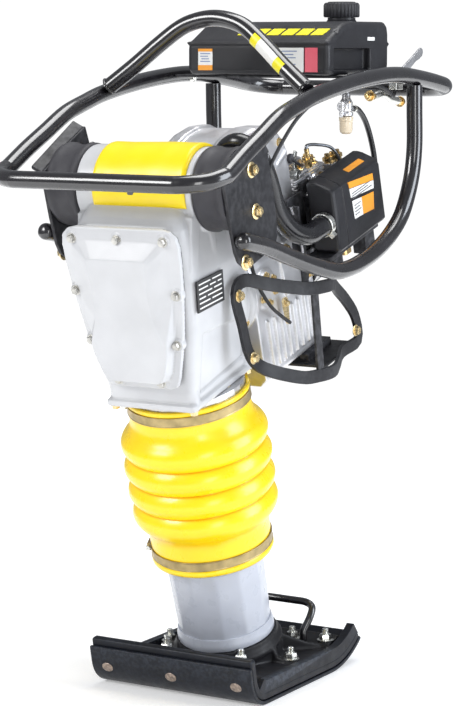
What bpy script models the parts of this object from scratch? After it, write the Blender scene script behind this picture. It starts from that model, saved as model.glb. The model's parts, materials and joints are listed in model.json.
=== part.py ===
"""Jumping jack rammer: a walk-behind tamping rammer as an assembly of separate solids.

Lengths are millimetres and MM turns them into metres. The world has +Z up, the machine's front
faces -Y and its left side is +X. The origin is on the ground, midway along the handle.
The leg, the crankcase and the engine lean forward together: their pieces are drawn in the
leg frame, whose Z runs up the leg's axis and whose Y points back, square to the leg.
"""
import math

import bmesh
import bpy
import numpy as np
from mathutils import Matrix, Vector

MM = 0.001
GAP = 0.3                      # between faces that touch on the real machine

# ---------------------------------------------------------------- driving dimensions
LEAN = math.radians(16.1)      # of the leg, towards the front
LEG_FOOT_Y = -9.5              # where the leg's axis meets the ground
FOOT_HALF_WIDTH = 142.5
HANDLE_HALF_WIDTH = 185.0      # to the tubes' centres
HANDLE_HALF_LENGTH = 392.0
FRAME_TUBE_RADIUS = 12.7
LEG_RADIUS = 72.0
CUFF_RADIUS = 88.5             # what the bellows' two ends are clamped on
LOWER_BAND_Z = (223.0, 238.0)  # leg frame
UPPER_BAND_Z = (461.0, 476.0)
BASE_Z = 494.0                 # underside of the crankcase's flange, leg frame
DRUM_Z = 803.0                 # axis of the drum across the crankcase's top
DRUM_RADIUS = 60.0
DRUM_HALF_LENGTH = 98.7
PLATE_X = 150.0                # inner faces of the handle's side plates
PLATE_THICKNESS = 6.0
CRANK_Z = 684.0                # crank gear's axis, leg frame
CRANK_THROW = 30.0
GEAR_TEETH = 44
PINION_TEETH = 10
GEAR_TIP_RADIUS = 72.0
PINION_TIP_RADIUS = 17.0
SHAFT_Z = CRANK_Z - GEAR_TIP_RADIUS - PINION_TIP_RADIUS - GAP
WRIST_Z = 548.0                # piston rod's pin, leg frame, crank at its lowest
ENGINE_FRONT_Y = 112.3
ENGINE_HALF_WIDTH = 68.0
TANK_HALF_WIDTH = 126.0
CAP_XY = (72.0, 205.0)
FILTER_XY = (110.0, 151.0)
THROTTLE_PIVOT = (167.0, 236.0, 934.0)
GOVERNOR_PIVOT = (72.0, 188.0, 552.0)   # leg frame
ROPE_Z = SHAFT_Z - 40.0                 # starter rope leaves at a tangent to its pulley
ROPE_Y = 349.0

# colours: (red, green, blue), roughness, metallic
CAST_GREY = ((0.60, 0.61, 0.63), 0.45, 0.10)
BARE_ALUMINIUM = ((0.55, 0.56, 0.57), 0.40, 0.80)
YELLOW = ((0.90, 0.72, 0.02), 0.35, 0.0)
BLACK_PAINT = ((0.022, 0.022, 0.025), 0.38, 0.05)
BLACK_PLASTIC = ((0.03, 0.03, 0.035), 0.50, 0.0)
RUBBER = ((0.035, 0.035, 0.04), 0.65, 0.0)
STEEL = ((0.50, 0.50, 0.50), 0.32, 0.95)
SPRING_STEEL = ((0.28, 0.29, 0.31), 0.35, 0.90)
BRASS = ((0.62, 0.47, 0.20), 0.30, 0.90)
CLAMP_STEEL = ((0.36, 0.30, 0.18), 0.42, 0.70)
BOWL = ((0.80, 0.72, 0.55), 0.30, 0.0)


# ---------------------------------------------------------------- scene helpers
def clear_scene():
    for thing in list(bpy.data.objects):
        bpy.data.objects.remove(thing, do_unlink=True)


def material(name, look):
    colour, roughness, metallic = look
    made = bpy.data.materials.new(name)
    made.use_nodes = True
    shader = made.node_tree.nodes["Principled BSDF"]
    shader.inputs["Base Color"].default_value = (*colour, 1.0)
    shader.inputs["Roughness"].default_value = roughness
    shader.inputs["Metallic"].default_value = metallic
    made.diffuse_color = (*colour, 1.0)
    return made


def empty(name, parent=None, at=(0, 0, 0), turn=(0, 0, 0)):
    made = bpy.data.objects.new(name, None)
    bpy.context.collection.objects.link(made)
    made.parent = parent
    made.location = [MM * value for value in at]
    made.rotation_euler = turn
    return made


def place(name, data, parent, look, at=(0, 0, 0)):
    made = bpy.data.objects.new(name, data)
    bpy.context.collection.objects.link(made)
    made.parent = parent
    made.location = [MM * value for value in at]
    if look is not None:
        data.materials.append(material(name, look))
    return made


def solid(name, verts, faces, parent, look, at=(0, 0, 0), smooth=40):
    """One closed mesh from points in millimetres, turned outward."""
    shape = bmesh.new()
    corners = [shape.verts.new([MM * value for value in point]) for point in verts]
    for face in faces:
        shape.faces.new([corners[index] for index in face])
    bmesh.ops.recalc_face_normals(shape, faces=shape.faces)
    mesh = bpy.data.meshes.new(name)
    shape.to_mesh(mesh)
    shape.free()
    mesh.shade_smooth()
    mesh.set_sharp_from_angle(angle=math.radians(smooth))
    return place(name, mesh, parent, look, at)


def combine(target, cutter, operation):
    """Adds a Boolean to target and hides the object it uses."""
    change = target.modifiers.new(operation.lower(), "BOOLEAN")
    change.operation = operation
    change.object = cutter
    cutter.hide_render = True
    cutter.display_type = "WIRE"
    return target


def join_on(target, *cutters):
    for cutter in cutters:
        combine(target, cutter, "UNION")
    return target


def cut_from(target, *cutters):
    for cutter in cutters:
        combine(target, cutter, "DIFFERENCE")
    return target


# ---------------------------------------------------------------- shape helpers
AXES = {"x": (1, 2, 0), "y": (0, 2, 1), "z": (0, 1, 2)}


def on_axis(axis, first, second, along):
    """A point from two coordinates across an axis and one along it."""
    point = [0.0, 0.0, 0.0]
    one, two, three = AXES[axis]
    point[one], point[two], point[three] = first, second, along
    return point


def prism(name, outline, low, high, axis, parent, look, at=(0, 0, 0), smooth=40):
    """An outline across an axis, pulled along it from low to high."""
    count = len(outline)
    verts = [on_axis(axis, a, b, low) for a, b in outline]
    verts += [on_axis(axis, a, b, high) for a, b in outline]
    faces = [list(range(count)), list(range(count, 2 * count))]
    for i in range(count):
        j = (i + 1) % count
        faces.append([i, j, count + j, count + i])
    return solid(name, verts, faces, parent, look, at, smooth)


def block(name, low, high, parent, look, at=(0, 0, 0)):
    outline = [(low[0], low[1]), (high[0], low[1]), (high[0], high[1]), (low[0], high[1])]
    return prism(name, outline, low[2], high[2], "z", parent, look, at)


def turned(name, profile, axis, parent, look, at=(0, 0, 0), segments=24, smooth=40):
    """A profile of (radius, height) turned about an axis; radius 0 at both ends makes it solid."""
    is_solid = profile[0][0] == 0 and profile[-1][0] == 0
    verts = []
    rings = []
    for radius, height in profile:
        if radius == 0:
            rings.append([len(verts)] * segments)
            verts.append(on_axis(axis, 0, 0, height))
            continue
        rings.append(list(range(len(verts), len(verts) + segments)))
        for step in range(segments):
            angle = 2 * math.pi * (step + 0.5) / segments
            verts.append(on_axis(axis, radius * math.cos(angle), radius * math.sin(angle), height))
    pairs = list(zip(rings, rings[1:]))
    if not is_solid:
        pairs.append((rings[-1], rings[0]))
    faces = []
    for lower, upper in pairs:
        for i in range(segments):
            j = (i + 1) % segments
            corners = [lower[i], lower[j], upper[j], upper[i]]
            faces.append(list(dict.fromkeys(corners)))
    return solid(name, verts, faces, parent, look, at, smooth)


def ring(name, inner, outer, low, high, axis, parent, look, at=(0, 0, 0), segments=24):
    profile = [(inner, low), (outer, low), (outer, high), (inner, high)]
    return turned(name, profile, axis, parent, look, at, segments)


def rod(name, radius, low, high, axis, parent, look, at=(0, 0, 0), segments=20):
    profile = [(0, low), (radius, low), (radius, high), (0, high)]
    return turned(name, profile, axis, parent, look, at, segments)


def loft(name, sections, parent, look, at=(0, 0, 0), smooth=40):
    """Skins closed sections with the same number of points and caps both ends."""
    count = len(sections[0])
    verts = [point for section in sections for point in section]
    faces = [list(range(count)), list(range(len(verts) - count, len(verts)))]
    for level in range(len(sections) - 1):
        base = level * count
        for i in range(count):
            j = (i + 1) % count
            faces.append([base + i, base + j, base + count + j, base + count + i])
    return solid(name, verts, faces, parent, look, at, smooth)


def rounded_box(half_x, low_y, high_y, corner, steps=2):
    """Plan outline of a rectangle with round corners, counter-clockwise."""
    centres = [(half_x - corner, high_y - corner, 0), (corner - half_x, high_y - corner, 90),
               (corner - half_x, low_y + corner, 180), (half_x - corner, low_y + corner, 270)]
    outline = []
    for x, y, start in centres:
        for step in range(steps + 1):
            angle = math.radians(start + 90 * step / steps)
            outline.append((x + corner * math.cos(angle), y + corner * math.sin(angle)))
    return outline


def smooth_path(points, steps, closed=False):
    """Catmull-Rom curve through the points, with so many steps for each span."""
    knots = [np.array(point, float) for point in points]
    if closed:
        knots = [knots[-1]] + knots + knots[:2]
    else:
        knots = [2 * knots[0] - knots[1]] + knots + [2 * knots[-1] - knots[-2]]
    path = []
    for a, b, c, d in zip(knots, knots[1:], knots[2:], knots[3:]):
        for step in range(steps):
            t = step / steps
            path.append(0.5 * (2 * b + (c - a) * t + (2 * a - 5 * b + 4 * c - d) * t ** 2
                               + (3 * b - a - 3 * c + d) * t ** 3))
    if not closed:
        path.append(knots[-2])
    return [tuple(point) for point in path]


def tube(name, points, radius, parent, look, closed=False, resolution=3):
    curve = bpy.data.curves.new(name, "CURVE")
    curve.dimensions = "3D"
    curve.bevel_depth = MM * radius
    curve.bevel_resolution = resolution
    curve.render_resolution_u = 0
    curve.use_fill_caps = True
    spline = curve.splines.new("POLY")
    spline.points.add(len(points) - 1)
    for knot, point in zip(spline.points, points):
        knot.co = (*[MM * value for value in point], 1.0)
        knot.radius = 1.0
    spline.use_cyclic_u = closed
    spline.use_smooth = True
    return place(name, curve, parent, look)


def mirrored(points):
    return [(-x, y, z) for x, y, z in points]


# ---------------------------------------------------------------- foot, world frame
FLAT_FRONT_Y = -148.0          # the sole is flat between these
FLAT_REAR_Y = 56.0
TOE_RADIUS = 48.0
TOE_TURN = 78                  # degrees
TOE_LIP = 36.0                 # straight length above the toe's curve
HEEL_RADIUS = 152.0
HEEL_TURN = 39.5


def shoe_line(depth, lip=TOE_LIP, toe_from=TOE_TURN):
    """Side view of the shoe, front lip to heel, at a depth inside its outer face."""
    line = []
    radius = TOE_RADIUS - depth
    if toe_from == TOE_TURN:
        turn = math.radians(TOE_TURN)
        y = FLAT_FRONT_Y - radius * math.sin(turn) - lip * math.cos(turn)
        line.append((y, TOE_RADIUS - radius * math.cos(turn) + lip * math.sin(turn)))
    for step in range(6):
        turn = math.radians(toe_from * (1 - step / 5))
        line.append((FLAT_FRONT_Y - radius * math.sin(turn), TOE_RADIUS - radius * math.cos(turn)))
    radius = HEEL_RADIUS - depth
    for step in range(5):
        turn = math.radians(HEEL_TURN * step / 4)
        line.append((FLAT_REAR_Y + radius * math.sin(turn), HEEL_RADIUS - radius * math.cos(turn)))
    return line


SOLE_THICKNESS = 6.0
BOARD_TOP = 20.0
RAIL_TOP = 36.0
RAIL_WIDTH = 13.0
CASTING_BOTTOM = BOARD_TOP + GAP
CASTING_TOP = 30.0
STUD_PLACES = [(67, -98, 44), (110, -20, 36), (108, 96, 40), (52, 88, 38)]   # x, y, boss top


def make_shoe():
    width = FOOT_HALF_WIDTH
    outline = shoe_line(0) + shoe_line(SOLE_THICKNESS)[::-1]
    prism("shoe_sole", outline, -width, width, "x", None, BLACK_PAINT)

    outline = shoe_line(SOLE_THICKNESS + GAP) + shoe_line(BOARD_TOP)[::-1]
    board = prism("shoe_board", outline, -width, width, "x", None, BLACK_PLASTIC)
    rail = shoe_line(BOARD_TOP - 6, toe_from=40) + shoe_line(RAIL_TOP, toe_from=40)[::-1]
    for side, name in ((1, "rail_left"), (-1, "rail_right")):
        ends = sorted((side * (width - 0.5), side * (width - RAIL_WIDTH)))
        join_on(board, prism(name, rail, ends[0], ends[1], "x", None, None))


def heel_line(depth):
    """The heel's curve as far as the casting reaches, at a depth above the ground."""
    radius = HEEL_RADIUS - depth
    line = []
    for step in range(4):
        turn = math.radians(HEEL_TURN * step / 4)
        line.append((FLAT_REAR_Y + radius * math.sin(turn), HEEL_RADIUS - radius * math.cos(turn)))
    return line


def board_height(y):
    """Height of the board's upper face at a place along the shoe."""
    if y <= FLAT_REAR_Y:
        return BOARD_TOP
    radius = HEEL_RADIUS - BOARD_TOP
    return HEEL_RADIUS - math.sqrt(radius ** 2 - (y - FLAT_REAR_Y) ** 2)


def make_shoe_casting(leg):
    """Black cast socket that holds the leg, with its ribs, studs and nuts."""
    lower = [(-116, CASTING_BOTTOM)] + heel_line(CASTING_BOTTOM)
    upper = [(-116, CASTING_TOP)] + heel_line(CASTING_TOP)
    casting = prism("shoe_casting", lower + upper[::-1], -122, 122, "x", None, BLACK_PAINT)
    profile = [(0, -20), (84, -20), (84, 58), (79, 66), (79, 73.5), (0, 73.5)]
    socket = turned("casting_socket", profile, "z", leg, None)
    outline = [(-300, -120), (-300, CASTING_BOTTOM)] + heel_line(CASTING_BOTTOM) + [(200, 60), (200, -120)]
    below = prism("casting_underside", outline, -200, 200, "x", None, None)
    cut_from(socket, below)
    join_on(casting, socket)
    for index, (x, y) in enumerate(((104, 84), (108, -30), (-104, 84), (-108, -30))):
        reach = math.hypot(x, y + 22)
        turn = math.atan2(y + 22, x)
        sides = [(30, -5), (reach, -5), (reach, 5), (30, 5)]
        plan = [(a * math.cos(turn) - b * math.sin(turn), -22 + a * math.sin(turn) + b * math.cos(turn))
                for a, b in sides]
        heights = [52, 34, 34, 52]
        verts = [(px, py, 26) for px, py in plan] + [(px, py, h) for (px, py), h in zip(plan, heights)]
        faces = [[0, 1, 2, 3], [4, 5, 6, 7], [0, 1, 5, 4], [1, 2, 6, 5], [2, 3, 7, 6], [3, 0, 4, 7]]
        join_on(casting, solid("casting_rib_%d" % index, verts, faces, None, None))
    for side in (1, -1):
        for index, (x, y, top) in enumerate(STUD_PLACES):
            foot = board_height(y + 13) + 2
            profile = [(0, foot), (13, foot), (12, top), (9, top), (9, top + 8), (5, top + 8),
                       (5, top + 16), (0, top + 16)]
            name = "stud_%d_%s" % (index, "left" if side > 0 else "right")
            join_on(casting, turned(name, profile, "z", None, None, at=(side * x, y, 0), segments=6))


def make_bail_bar():
    """Round bar bent over behind the leg, for tying the machine down."""
    half = [(76, 82, 36), (76, 82, 43), (76, 82, 50), (81, 94, 72), (79, 104, 86), (66, 108, 93), (40, 110, 93)]
    path = smooth_path(half + mirrored(half)[::-1], 2)
    tube("bail_bar", path, 6, None, BLACK_PAINT)


# ---------------------------------------------------------------- leg, leg frame
def make_leg(leg):
    profile = [(64, 74), (76, 74), (76, 85), (71, 90), (LEG_RADIUS, 94), (LEG_RADIUS + 3, 203),
               (CUFF_RADIUS, 212), (CUFF_RADIUS, 240), (82, 240), (82, 217), (64, 207)]
    turned("leg_tube", profile, "z", leg, CAST_GREY, segments=32)
    profile = [(0, 73.8), (60, 73.8), (60, 84), (49, 84), (49, 430), (42, 430), (42, 98), (0, 98)]
    turned("spring_cylinder", profile, "z", leg, STEEL)
    ring("cylinder_cap", 12.5, 49, 430 + GAP, 440, "z", leg, STEEL)
    coil("lower_spring", 98.5, 231.5, 5, leg)
    coil("upper_spring", 250.5, 429.5, 6, leg)
    ring("lower_clamp", 92.3, 94.6, *LOWER_BAND_Z, "z", leg, CLAMP_STEEL, segments=32)


def coil(name, low, high, turns, parent):
    """A compression spring between two heights."""
    wire = 5.0
    mean_radius = 33.0
    steps = 9 * turns
    points = []
    for step in range(steps + 1):
        angle = 2 * math.pi * turns * step / steps
        height = low + wire + (high - low - 2 * wire) * step / steps
        points.append((mean_radius * math.cos(angle), mean_radius * math.sin(angle), height))
    tube(name, points, wire, parent, SPRING_STEEL, resolution=1)


def make_guide(leg):
    profile = [(50, 300), (56, 300), (56, 474), (80, 480), (80, 455), (CUFF_RADIUS, 455),
               (CUFF_RADIUS, BASE_Z - GAP), (50, BASE_Z - GAP)]
    turned("guide_cylinder", profile, "z", leg, STEEL, segments=32)
    ring("upper_clamp", 92.3, 94.6, *UPPER_BAND_Z, "z", leg, CLAMP_STEEL, segments=32)


BELLOWS_WALL = 3.0
BULGES = [(296.0, 112.0), (333.0, 113.0), (371.5, 113.5), (410.5, 112.5)]
GROOVE_RADIUS = 101.0


def make_bellows(leg):
    """Yellow rubber boot from the leg's cuff to the crankcase's, with four bulges."""
    outer = [(92.0, 213), (92.0, 252), (96.0, 264)]
    for index, (height, radius) in enumerate(BULGES):
        rise = 0.5 * (BULGES[1][0] - BULGES[0][0])
        outer += [(radius - 4, height - 0.55 * rise), (radius, height), (radius - 4, height + 0.55 * rise)]
        if index < len(BULGES) - 1:
            outer.append((GROOVE_RADIUS, 0.5 * (height + BULGES[index + 1][0])))
    outer += [(97.0, 432), (92.0, 446), (92.0, 484)]
    inner = [(CUFF_RADIUS + GAP, 213), (CUFF_RADIUS + GAP, 254), (GROOVE_RADIUS - BELLOWS_WALL, 272),
             (GROOVE_RADIUS - BELLOWS_WALL, 424), (CUFF_RADIUS + GAP, 444), (CUFF_RADIUS + GAP, 484)]
    turned("bellows", outer + inner[::-1], "z", leg, YELLOW, segments=32)


# ---------------------------------------------------------------- crank mechanism, leg frame
def gear_outline(teeth, tip, depth):
    outline = []
    pitch = 2 * math.pi / teeth
    for tooth in range(teeth):
        for share, radius in ((0.0, tip - depth), (0.42, tip - depth), (0.58, tip), (0.84, tip)):
            angle = pitch * (tooth + share)
            outline.append((radius * math.cos(angle), radius * math.sin(angle)))
    return outline


def make_piston(leg):
    slide = empty("piston_axis", leg)
    profile = [(0, 256), (11, 256), (11, 530), (0, 530)]
    piston_rod = turned("piston_rod", profile, "z", slide, STEEL, segments=20)
    fork = block("rod_fork", (-16, -15.8, 524), (16, 15.8, 564), slide, None)
    slot = block("rod_fork_slot", (-20, -9.8, 534), (20, 9.8, 580), slide, None)
    cut_from(fork, slot)
    join_on(piston_rod, fork)
    ring("piston_head", 11 + GAP, 41, 232, 250, "z", slide, STEEL)
    nut = turned("piston_nut", [(0, 251), (20, 251), (20, 262), (0, 262)], "z", slide, None, segments=6)
    join_on(piston_rod, nut)
    join_on(piston_rod, rod("piston_spigot", 10.5, 228, 256, "z", slide, None, segments=20))


def make_connecting_rod(leg):
    """Swings on the piston rod's pin; its big end stands just in front of the crank pin."""
    swing = empty("wrist_axis", leg, at=(0, 0, WRIST_Z))
    length = CRANK_Z - CRANK_THROW - WRIST_Z
    beam = prism("connecting_rod", [(-8, 0), (8, 0), (10, length), (-10, length)], -6, 6, "y",
                 swing, STEEL)
    join_on(beam, rod("small_end", 13, -9, 9, "y", swing, None))
    join_on(beam, rod("big_end", 24, -9, 9, "y", swing, None, at=(0, 0, length)))


def make_crank_gear(leg):
    axis = empty("crank_axis", leg, at=(0, 0, CRANK_Z))
    outline = gear_outline(GEAR_TEETH, GEAR_TIP_RADIUS, 4.0)
    gear = prism("crank_gear", outline, 18, 38, "y", axis, STEEL)
    join_on(gear, rod("gear_shaft", 20, 30, 61, "y", axis, None))
    join_on(gear, rod("crank_pin", 13, 9.5, 24, "y", axis, None, at=(0, 0, -CRANK_THROW)))
    ring("gear_bearing", 20.4, 36, 46, 60, "y", leg, STEEL, at=(0, 0, CRANK_Z))


def make_clutch(leg):
    axis = empty("shaft_axis", leg, at=(0, 0, SHAFT_Z))
    profile = [(0, 17), (12, 17), (12, 82), (60, 82), (60, 107), (56, 107), (56, 86), (0, 86)]
    drum = turned("clutch_drum", profile, "y", axis, STEEL)
    outline = gear_outline(PINION_TEETH, PINION_TIP_RADIUS, 4.0)
    join_on(drum, prism("pinion", outline, 18, 38, "y", axis, None))
    shaft = [(0, 87), (12, 87), (12, 332), (0, 332)]
    turned("engine_shaft", shaft, "y", axis, STEEL, segments=20)
    shoes = ring("clutch_shoes", 12 + GAP, 53, 90, 105, "y", axis, CAST_GREY)
    cut_from(shoes, block("shoe_split", (-60, 80, -2), (-20, 120, 2), axis, None))
    cut_from(shoes, block("shoe_split_other", (20, 80, -2), (60, 120, 2), axis, None))
    profile = [(12 + GAP, 304), (72, 304), (72, 312), (64, 328), (30, 328), (12 + GAP, 320)]
    turned("flywheel", profile, "y", axis, CAST_GREY)


# ---------------------------------------------------------------- crankcase, leg frame
def make_crankcase(leg):
    levels = [(BASE_Z, 77, -104, 78, 8), (504, 77, -104, 78, 8), (506, 72, -98, 74, 10),
              (560, 80, -98, 75, 12), (620, 92, -98, 76, 14), (690, 98, -98, 76, 14),
              (762, 97, -98, 74, 14), (776, 95, -96, 70, 14), (792, 88, -66, 56, 14)]
    sections = [[(x, y, z) for x, y in rounded_box(half, low, high, corner)]
                for z, half, low, high, corner in levels]
    case = loft("crankcase", sections, leg, CAST_GREY, smooth=30)
    drum = rod("case_drum", DRUM_RADIUS, -DRUM_HALF_LENGTH, DRUM_HALF_LENGTH, "x", leg, None,
               at=(0, 0, DRUM_Z), segments=36)
    bell = rod("case_bell", 76, 60, ENGINE_FRONT_Y - GAP, "y", leg, None, at=(0, 0, SHAFT_Z), segments=36)
    join_on(case, drum, bell)
    cavity = prism("case_cavity", cover_outline(-16), -140, 44, "y", leg, None)
    bore = rod("case_bore", 50, 480, 560, "z", leg, None, at=(0, 0, 0))
    seat = rod("bearing_seat", 36 + GAP, 40, 66, "y", leg, None, at=(0, 0, CRANK_Z), segments=24)
    shaft_hole = rod("shaft_hole", 14, 30, 90, "y", leg, None, at=(0, 0, SHAFT_Z))
    drum_room = rod("clutch_room", 66, 80, 140, "y", leg, None, at=(0, 0, SHAFT_Z))
    cut_from(case, cavity, bore, seat, shaft_hole, drum_room)


def cover_outline(grow):
    """Front view of the crankcase's cover: eight sides, narrow at the foot."""
    right = [(88, 776), (98, 764), (98, 640), (88, 596), (50, 532)]
    centre_z = 655.0
    outline = []
    for x, z in right:
        outline.append((x + grow, z + grow if z > centre_z else z - grow))
    return outline + [(-x, z) for x, z in outline[::-1]]


COVER_BOLTS = [(77.4, 763), (84.9, 682.5), (73, 606), (36.5, 545.8)]


def make_front_cover(leg):
    """Bolted pan with a raised flat middle."""
    back, rim, front = -104.0, -114.0, -131.0
    base = cover_outline(0)
    step = cover_outline(-19)
    face = cover_outline(-34)
    sections = [[(x, y, z) for x, z in outline]
                for outline, y in ((base, back), (base, rim), (step, rim), (face, front))]
    cover = loft("front_cover", sections, leg, CAST_GREY, smooth=20)
    inner = [[(x, y, z) for x, z in outline]
             for outline, y in ((cover_outline(-22), back + 10), (cover_outline(-40), front + 5))]
    cut_from(cover, loft("cover_hollow", inner, leg, None))
    places = [(side * x, z) for x, z in COVER_BOLTS for side in (1, -1)] + [(0, 763)]
    for index, (x, z) in enumerate(places):
        profile = [(0, rim - 5), (6.5, rim - 5), (6.5, rim + 4), (0, rim + 4)]
        bolt = turned("cover_bolt_%d" % index, profile, "y", leg, None, at=(x, 0, z), segments=6)
        join_on(cover, bolt)
    return cover


def make_drum_cover(leg):
    """Yellow moulded saddle over the drum."""
    inner, outer = DRUM_RADIUS + 0.6, DRUM_RADIUS + 4.0
    start, stop, steps = -99, 45, 16
    outline = []
    for radius, order in ((outer, range(steps + 1)), (inner, range(steps, -1, -1))):
        for step in order:
            angle = math.radians(start + (stop - start) * step / steps)
            outline.append((radius * math.sin(angle), DRUM_Z + radius * math.cos(angle)))
    outline = [(y, z) for y, z in outline]
    prism("drum_cover", outline, -68, 89, "x", leg, YELLOW)


# ---------------------------------------------------------------- engine, leg frame
def make_engine(leg):
    half = ENGINE_HALF_WIDTH
    body = block("engine_block", (-half, ENGINE_FRONT_Y + 2, 440), (half, 298, 650), leg, BARE_ALUMINIUM)
    face = rod("block_flange", 76, ENGINE_FRONT_Y, 130, "y", leg, None, at=(0, 0, SHAFT_Z), segments=36)
    join_on(body, face)
    for index in range(5):
        y = 142 + 30 * index
        join_on(body, block("block_fin_%d" % index, (-half - 6, y, 460), (half + 6, y + 5, 530), leg, None))
    cut_from(body, rod("block_bore", 14.5, 80, 340, "y", leg, None, at=(0, 0, SHAFT_Z), segments=18))

    shroud = [(130 + GAP, 655), (290, 655), (290, 764), (284, 784), (268, 804), (244, 819), (210, 827),
              (170, 827), (146, 822), (130 + GAP, 812)]
    prism("cooling_shroud", shroud, -70, 62, "x", leg, BARE_ALUMINIUM)
    join_on(body, block("block_neck", (-50, 150, 640), (50, 270, 655 - GAP), leg, None))
    head = block("cylinder_head", (-42, 290 + GAP, 680.5), (66, 392, 714), leg, BARE_ALUMINIUM)
    join_on(head, block("rocker_cover", (-30, 300, 712), (40, 372, 730), leg, None))

    profile = [(0, 366), (60, 366), (78, 356), (78, 300), (84, 300), (84, 360), (62, 372), (0, 372)]
    cover = turned("recoil_cover", profile, "y", leg, BLACK_PAINT, at=(0, 0, SHAFT_Z), segments=36)
    cut_from(cover, rod("rope_hole", 6, -120, -50, "x", leg, None, at=(0, ROPE_Y, ROPE_Z), segments=10))

    muffler = prism("muffler", rounded_box(34, 150, 292, 18), 622, 742, "z", leg, SPRING_STEEL,
                    at=(-106.3, 0, 0))
    join_on(muffler, rod("exhaust_stub", 14, 30, 38, "x", leg, None, at=(-106.3, 220, 640), segments=16))
    pump = block("injection_pump", (62, 374, 560), (90, 396, 594), leg, BRASS)
    return pump


def make_air_cleaner(leg):
    section = [(92, 605), (140, 605), (140, 703), (134, 710), (108, 720), (92, 720)]
    prism("air_cleaner_box", section, 268, 430, "y", leg, BLACK_PLASTIC)
    low, high = (ENGINE_HALF_WIDTH + GAP, 240, 600), (92 - GAP, 297, 700)
    bracket = block("air_cleaner_bracket", low, high, leg, BLACK_PAINT)
    join_on(bracket, block("air_cleaner_tray", (86, 250, 596), (130, 420, 605 - GAP), leg, None))
    route = [(46, 127.2, 796), (46, 121, 796), (49, 112, 804), (62, 103, 826), (86, 99, 840), (106, 101, 834),
             (118, 110, 812), (117, 126, 776), (114, 137, 742), (115, 146, 710), (119, 170, 678),
             (121, 206, 659), (122, 240, 656), (122, 254, 656), (122, 267.6, 656)]
    tube("intake_hose", smooth_path(route, 2), 14, leg, RUBBER)


GUARD_WIDTH = 20.0
GUARD_THICKNESS = 6.0
GUARD_LOOP = [(104, 4, 640), (104, 10, 590), (104, 18, 540), (110, 44, 506), (140, 92, 474),
              (150, 128, 462), (150, 176, 450), (128, 232, 440), (104, 290, 432), (104, 344, 430),
              (104, 344, 470), (104, 322, 506), (112, 284, 540), (136, 232, 570), (150, 190, 584),
              (150, 132, 602), (124, 72, 630), (104, 34, 650)]


def make_guard(leg, name, side):
    """Flat bar bent into a loop beside the engine, with a strap down its middle."""
    flat = [Vector((y, z)) for _, y, z in GUARD_LOOP]
    count = len(flat)
    verts = []
    for i, (x, _, _) in enumerate(GUARD_LOOP):
        along = (flat[(i + 1) % count] - flat[i - 1]).normalized()
        across = Vector((-along.y, along.x)) * GUARD_WIDTH / 2
        for sign, depth in ((1, 0), (1, GUARD_THICKNESS), (-1, GUARD_THICKNESS), (-1, 0)):
            spot = flat[i] + sign * across
            verts.append((side * (x + depth), spot.x, spot.y))
    faces = []
    for i in range(count):
        j = (i + 1) % count
        for k in range(4):
            m = (k + 1) % 4
            faces.append([4 * i + k, 4 * i + m, 4 * j + m, 4 * j + k])
    loop = solid(name, verts, faces, leg, BLACK_PAINT, smooth=30)
    ends = sorted((side * 150.5, side * 155.5))
    strap = [(126, 460), (144, 456), (160, 592), (142, 596)]
    join_on(loop, prism(name + "_strap", strap, ends[0], ends[1], "x", leg, None))


def make_skid_plate(leg):
    block("skid_plate", (-103.5, 236, 424), (103.5, 340, 429), leg, BLACK_PAINT)


def make_governor_arm(leg):
    pivot = empty("governor_axis", leg, at=GOVERNOR_PIVOT)
    outline = [(-7, 6), (0, 9), (7, 6), (7, -4), (3, -34), (-3, -34), (-7, -4)]
    prism("governor_arm", outline, 3, 7, "x", pivot, STEEL)


def make_starter(leg):
    disc = [(0, 343), (40, 343), (40, 346), (36, 349), (40, 352), (40, 355), (0, 355)]
    turned("starter_pulley", disc, "y", empty("pulley_axis", leg, at=(0, 0, SHAFT_Z)), BLACK_PLASTIC)
    pull = empty("pull_axis", leg, at=(-80, ROPE_Y, ROPE_Z))
    rod("starter_rope", 2, 1, 38, "x", pull, RUBBER, segments=8)
    outline = rounded_box(7, -24, 24, 5)
    grip = prism("starter_grip", [(y, z) for z, y in outline], -16, GAP, "x", pull, BLACK_PLASTIC)
    return grip


# ---------------------------------------------------------------- handle, world frame
HANDLE_SIDE = [(-392, 786), (-368, 790), (-334, 800), (-288, 825), (-241, 848), (-190, 873),
               (-141, 888), (-82, 903), (22, 919), (120, 928), (188, 929), (240, 925),
               (294, 919), (349, 911), (392, 904)]
HANDLE_CORNER = 58.0


def handle_height(y):
    ys = [point[0] for point in HANDLE_SIDE]
    zs = [point[1] for point in HANDLE_SIDE]
    return float(np.interp(y, ys, zs))


def make_handle_loop(handle):
    half, corner, end = HANDLE_HALF_WIDTH, HANDLE_CORNER, HANDLE_HALF_LENGTH
    quarter = []
    for step in range(6):
        angle = math.radians(90 * step / 5)
        quarter.append((half - corner + corner * math.sin(angle), corner - end - corner * math.cos(angle)))
    sides = [y for y, _ in HANDLE_SIDE if corner - end < y < end - corner]
    plan = [(0, -end), (60, -end)] + quarter + [(half, y) for y in sides]
    plan += [(x, -y) for x, y in quarter[::-1]] + [(60, end), (0, end)]
    plan += [(-x, y) for x, y in plan[-2:0:-1]]
    points = [(x, y, handle_height(y)) for x, y in plan]
    tube("handle_loop", points, FRAME_TUBE_RADIUS, handle, BLACK_PAINT, closed=True)


def make_lifting_arch(handle):
    half = [(171.4, -90.2, 912.3), (131, -83, 943), (92, -75, 975), (58, -68.5, 1000), (30, -66, 1011),
            (0, -65, 1015)]
    path = smooth_path(half + mirrored(half)[-2::-1], 2)
    tube("lifting_arch", path, FRAME_TUBE_RADIUS, handle, BLACK_PAINT)


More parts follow.
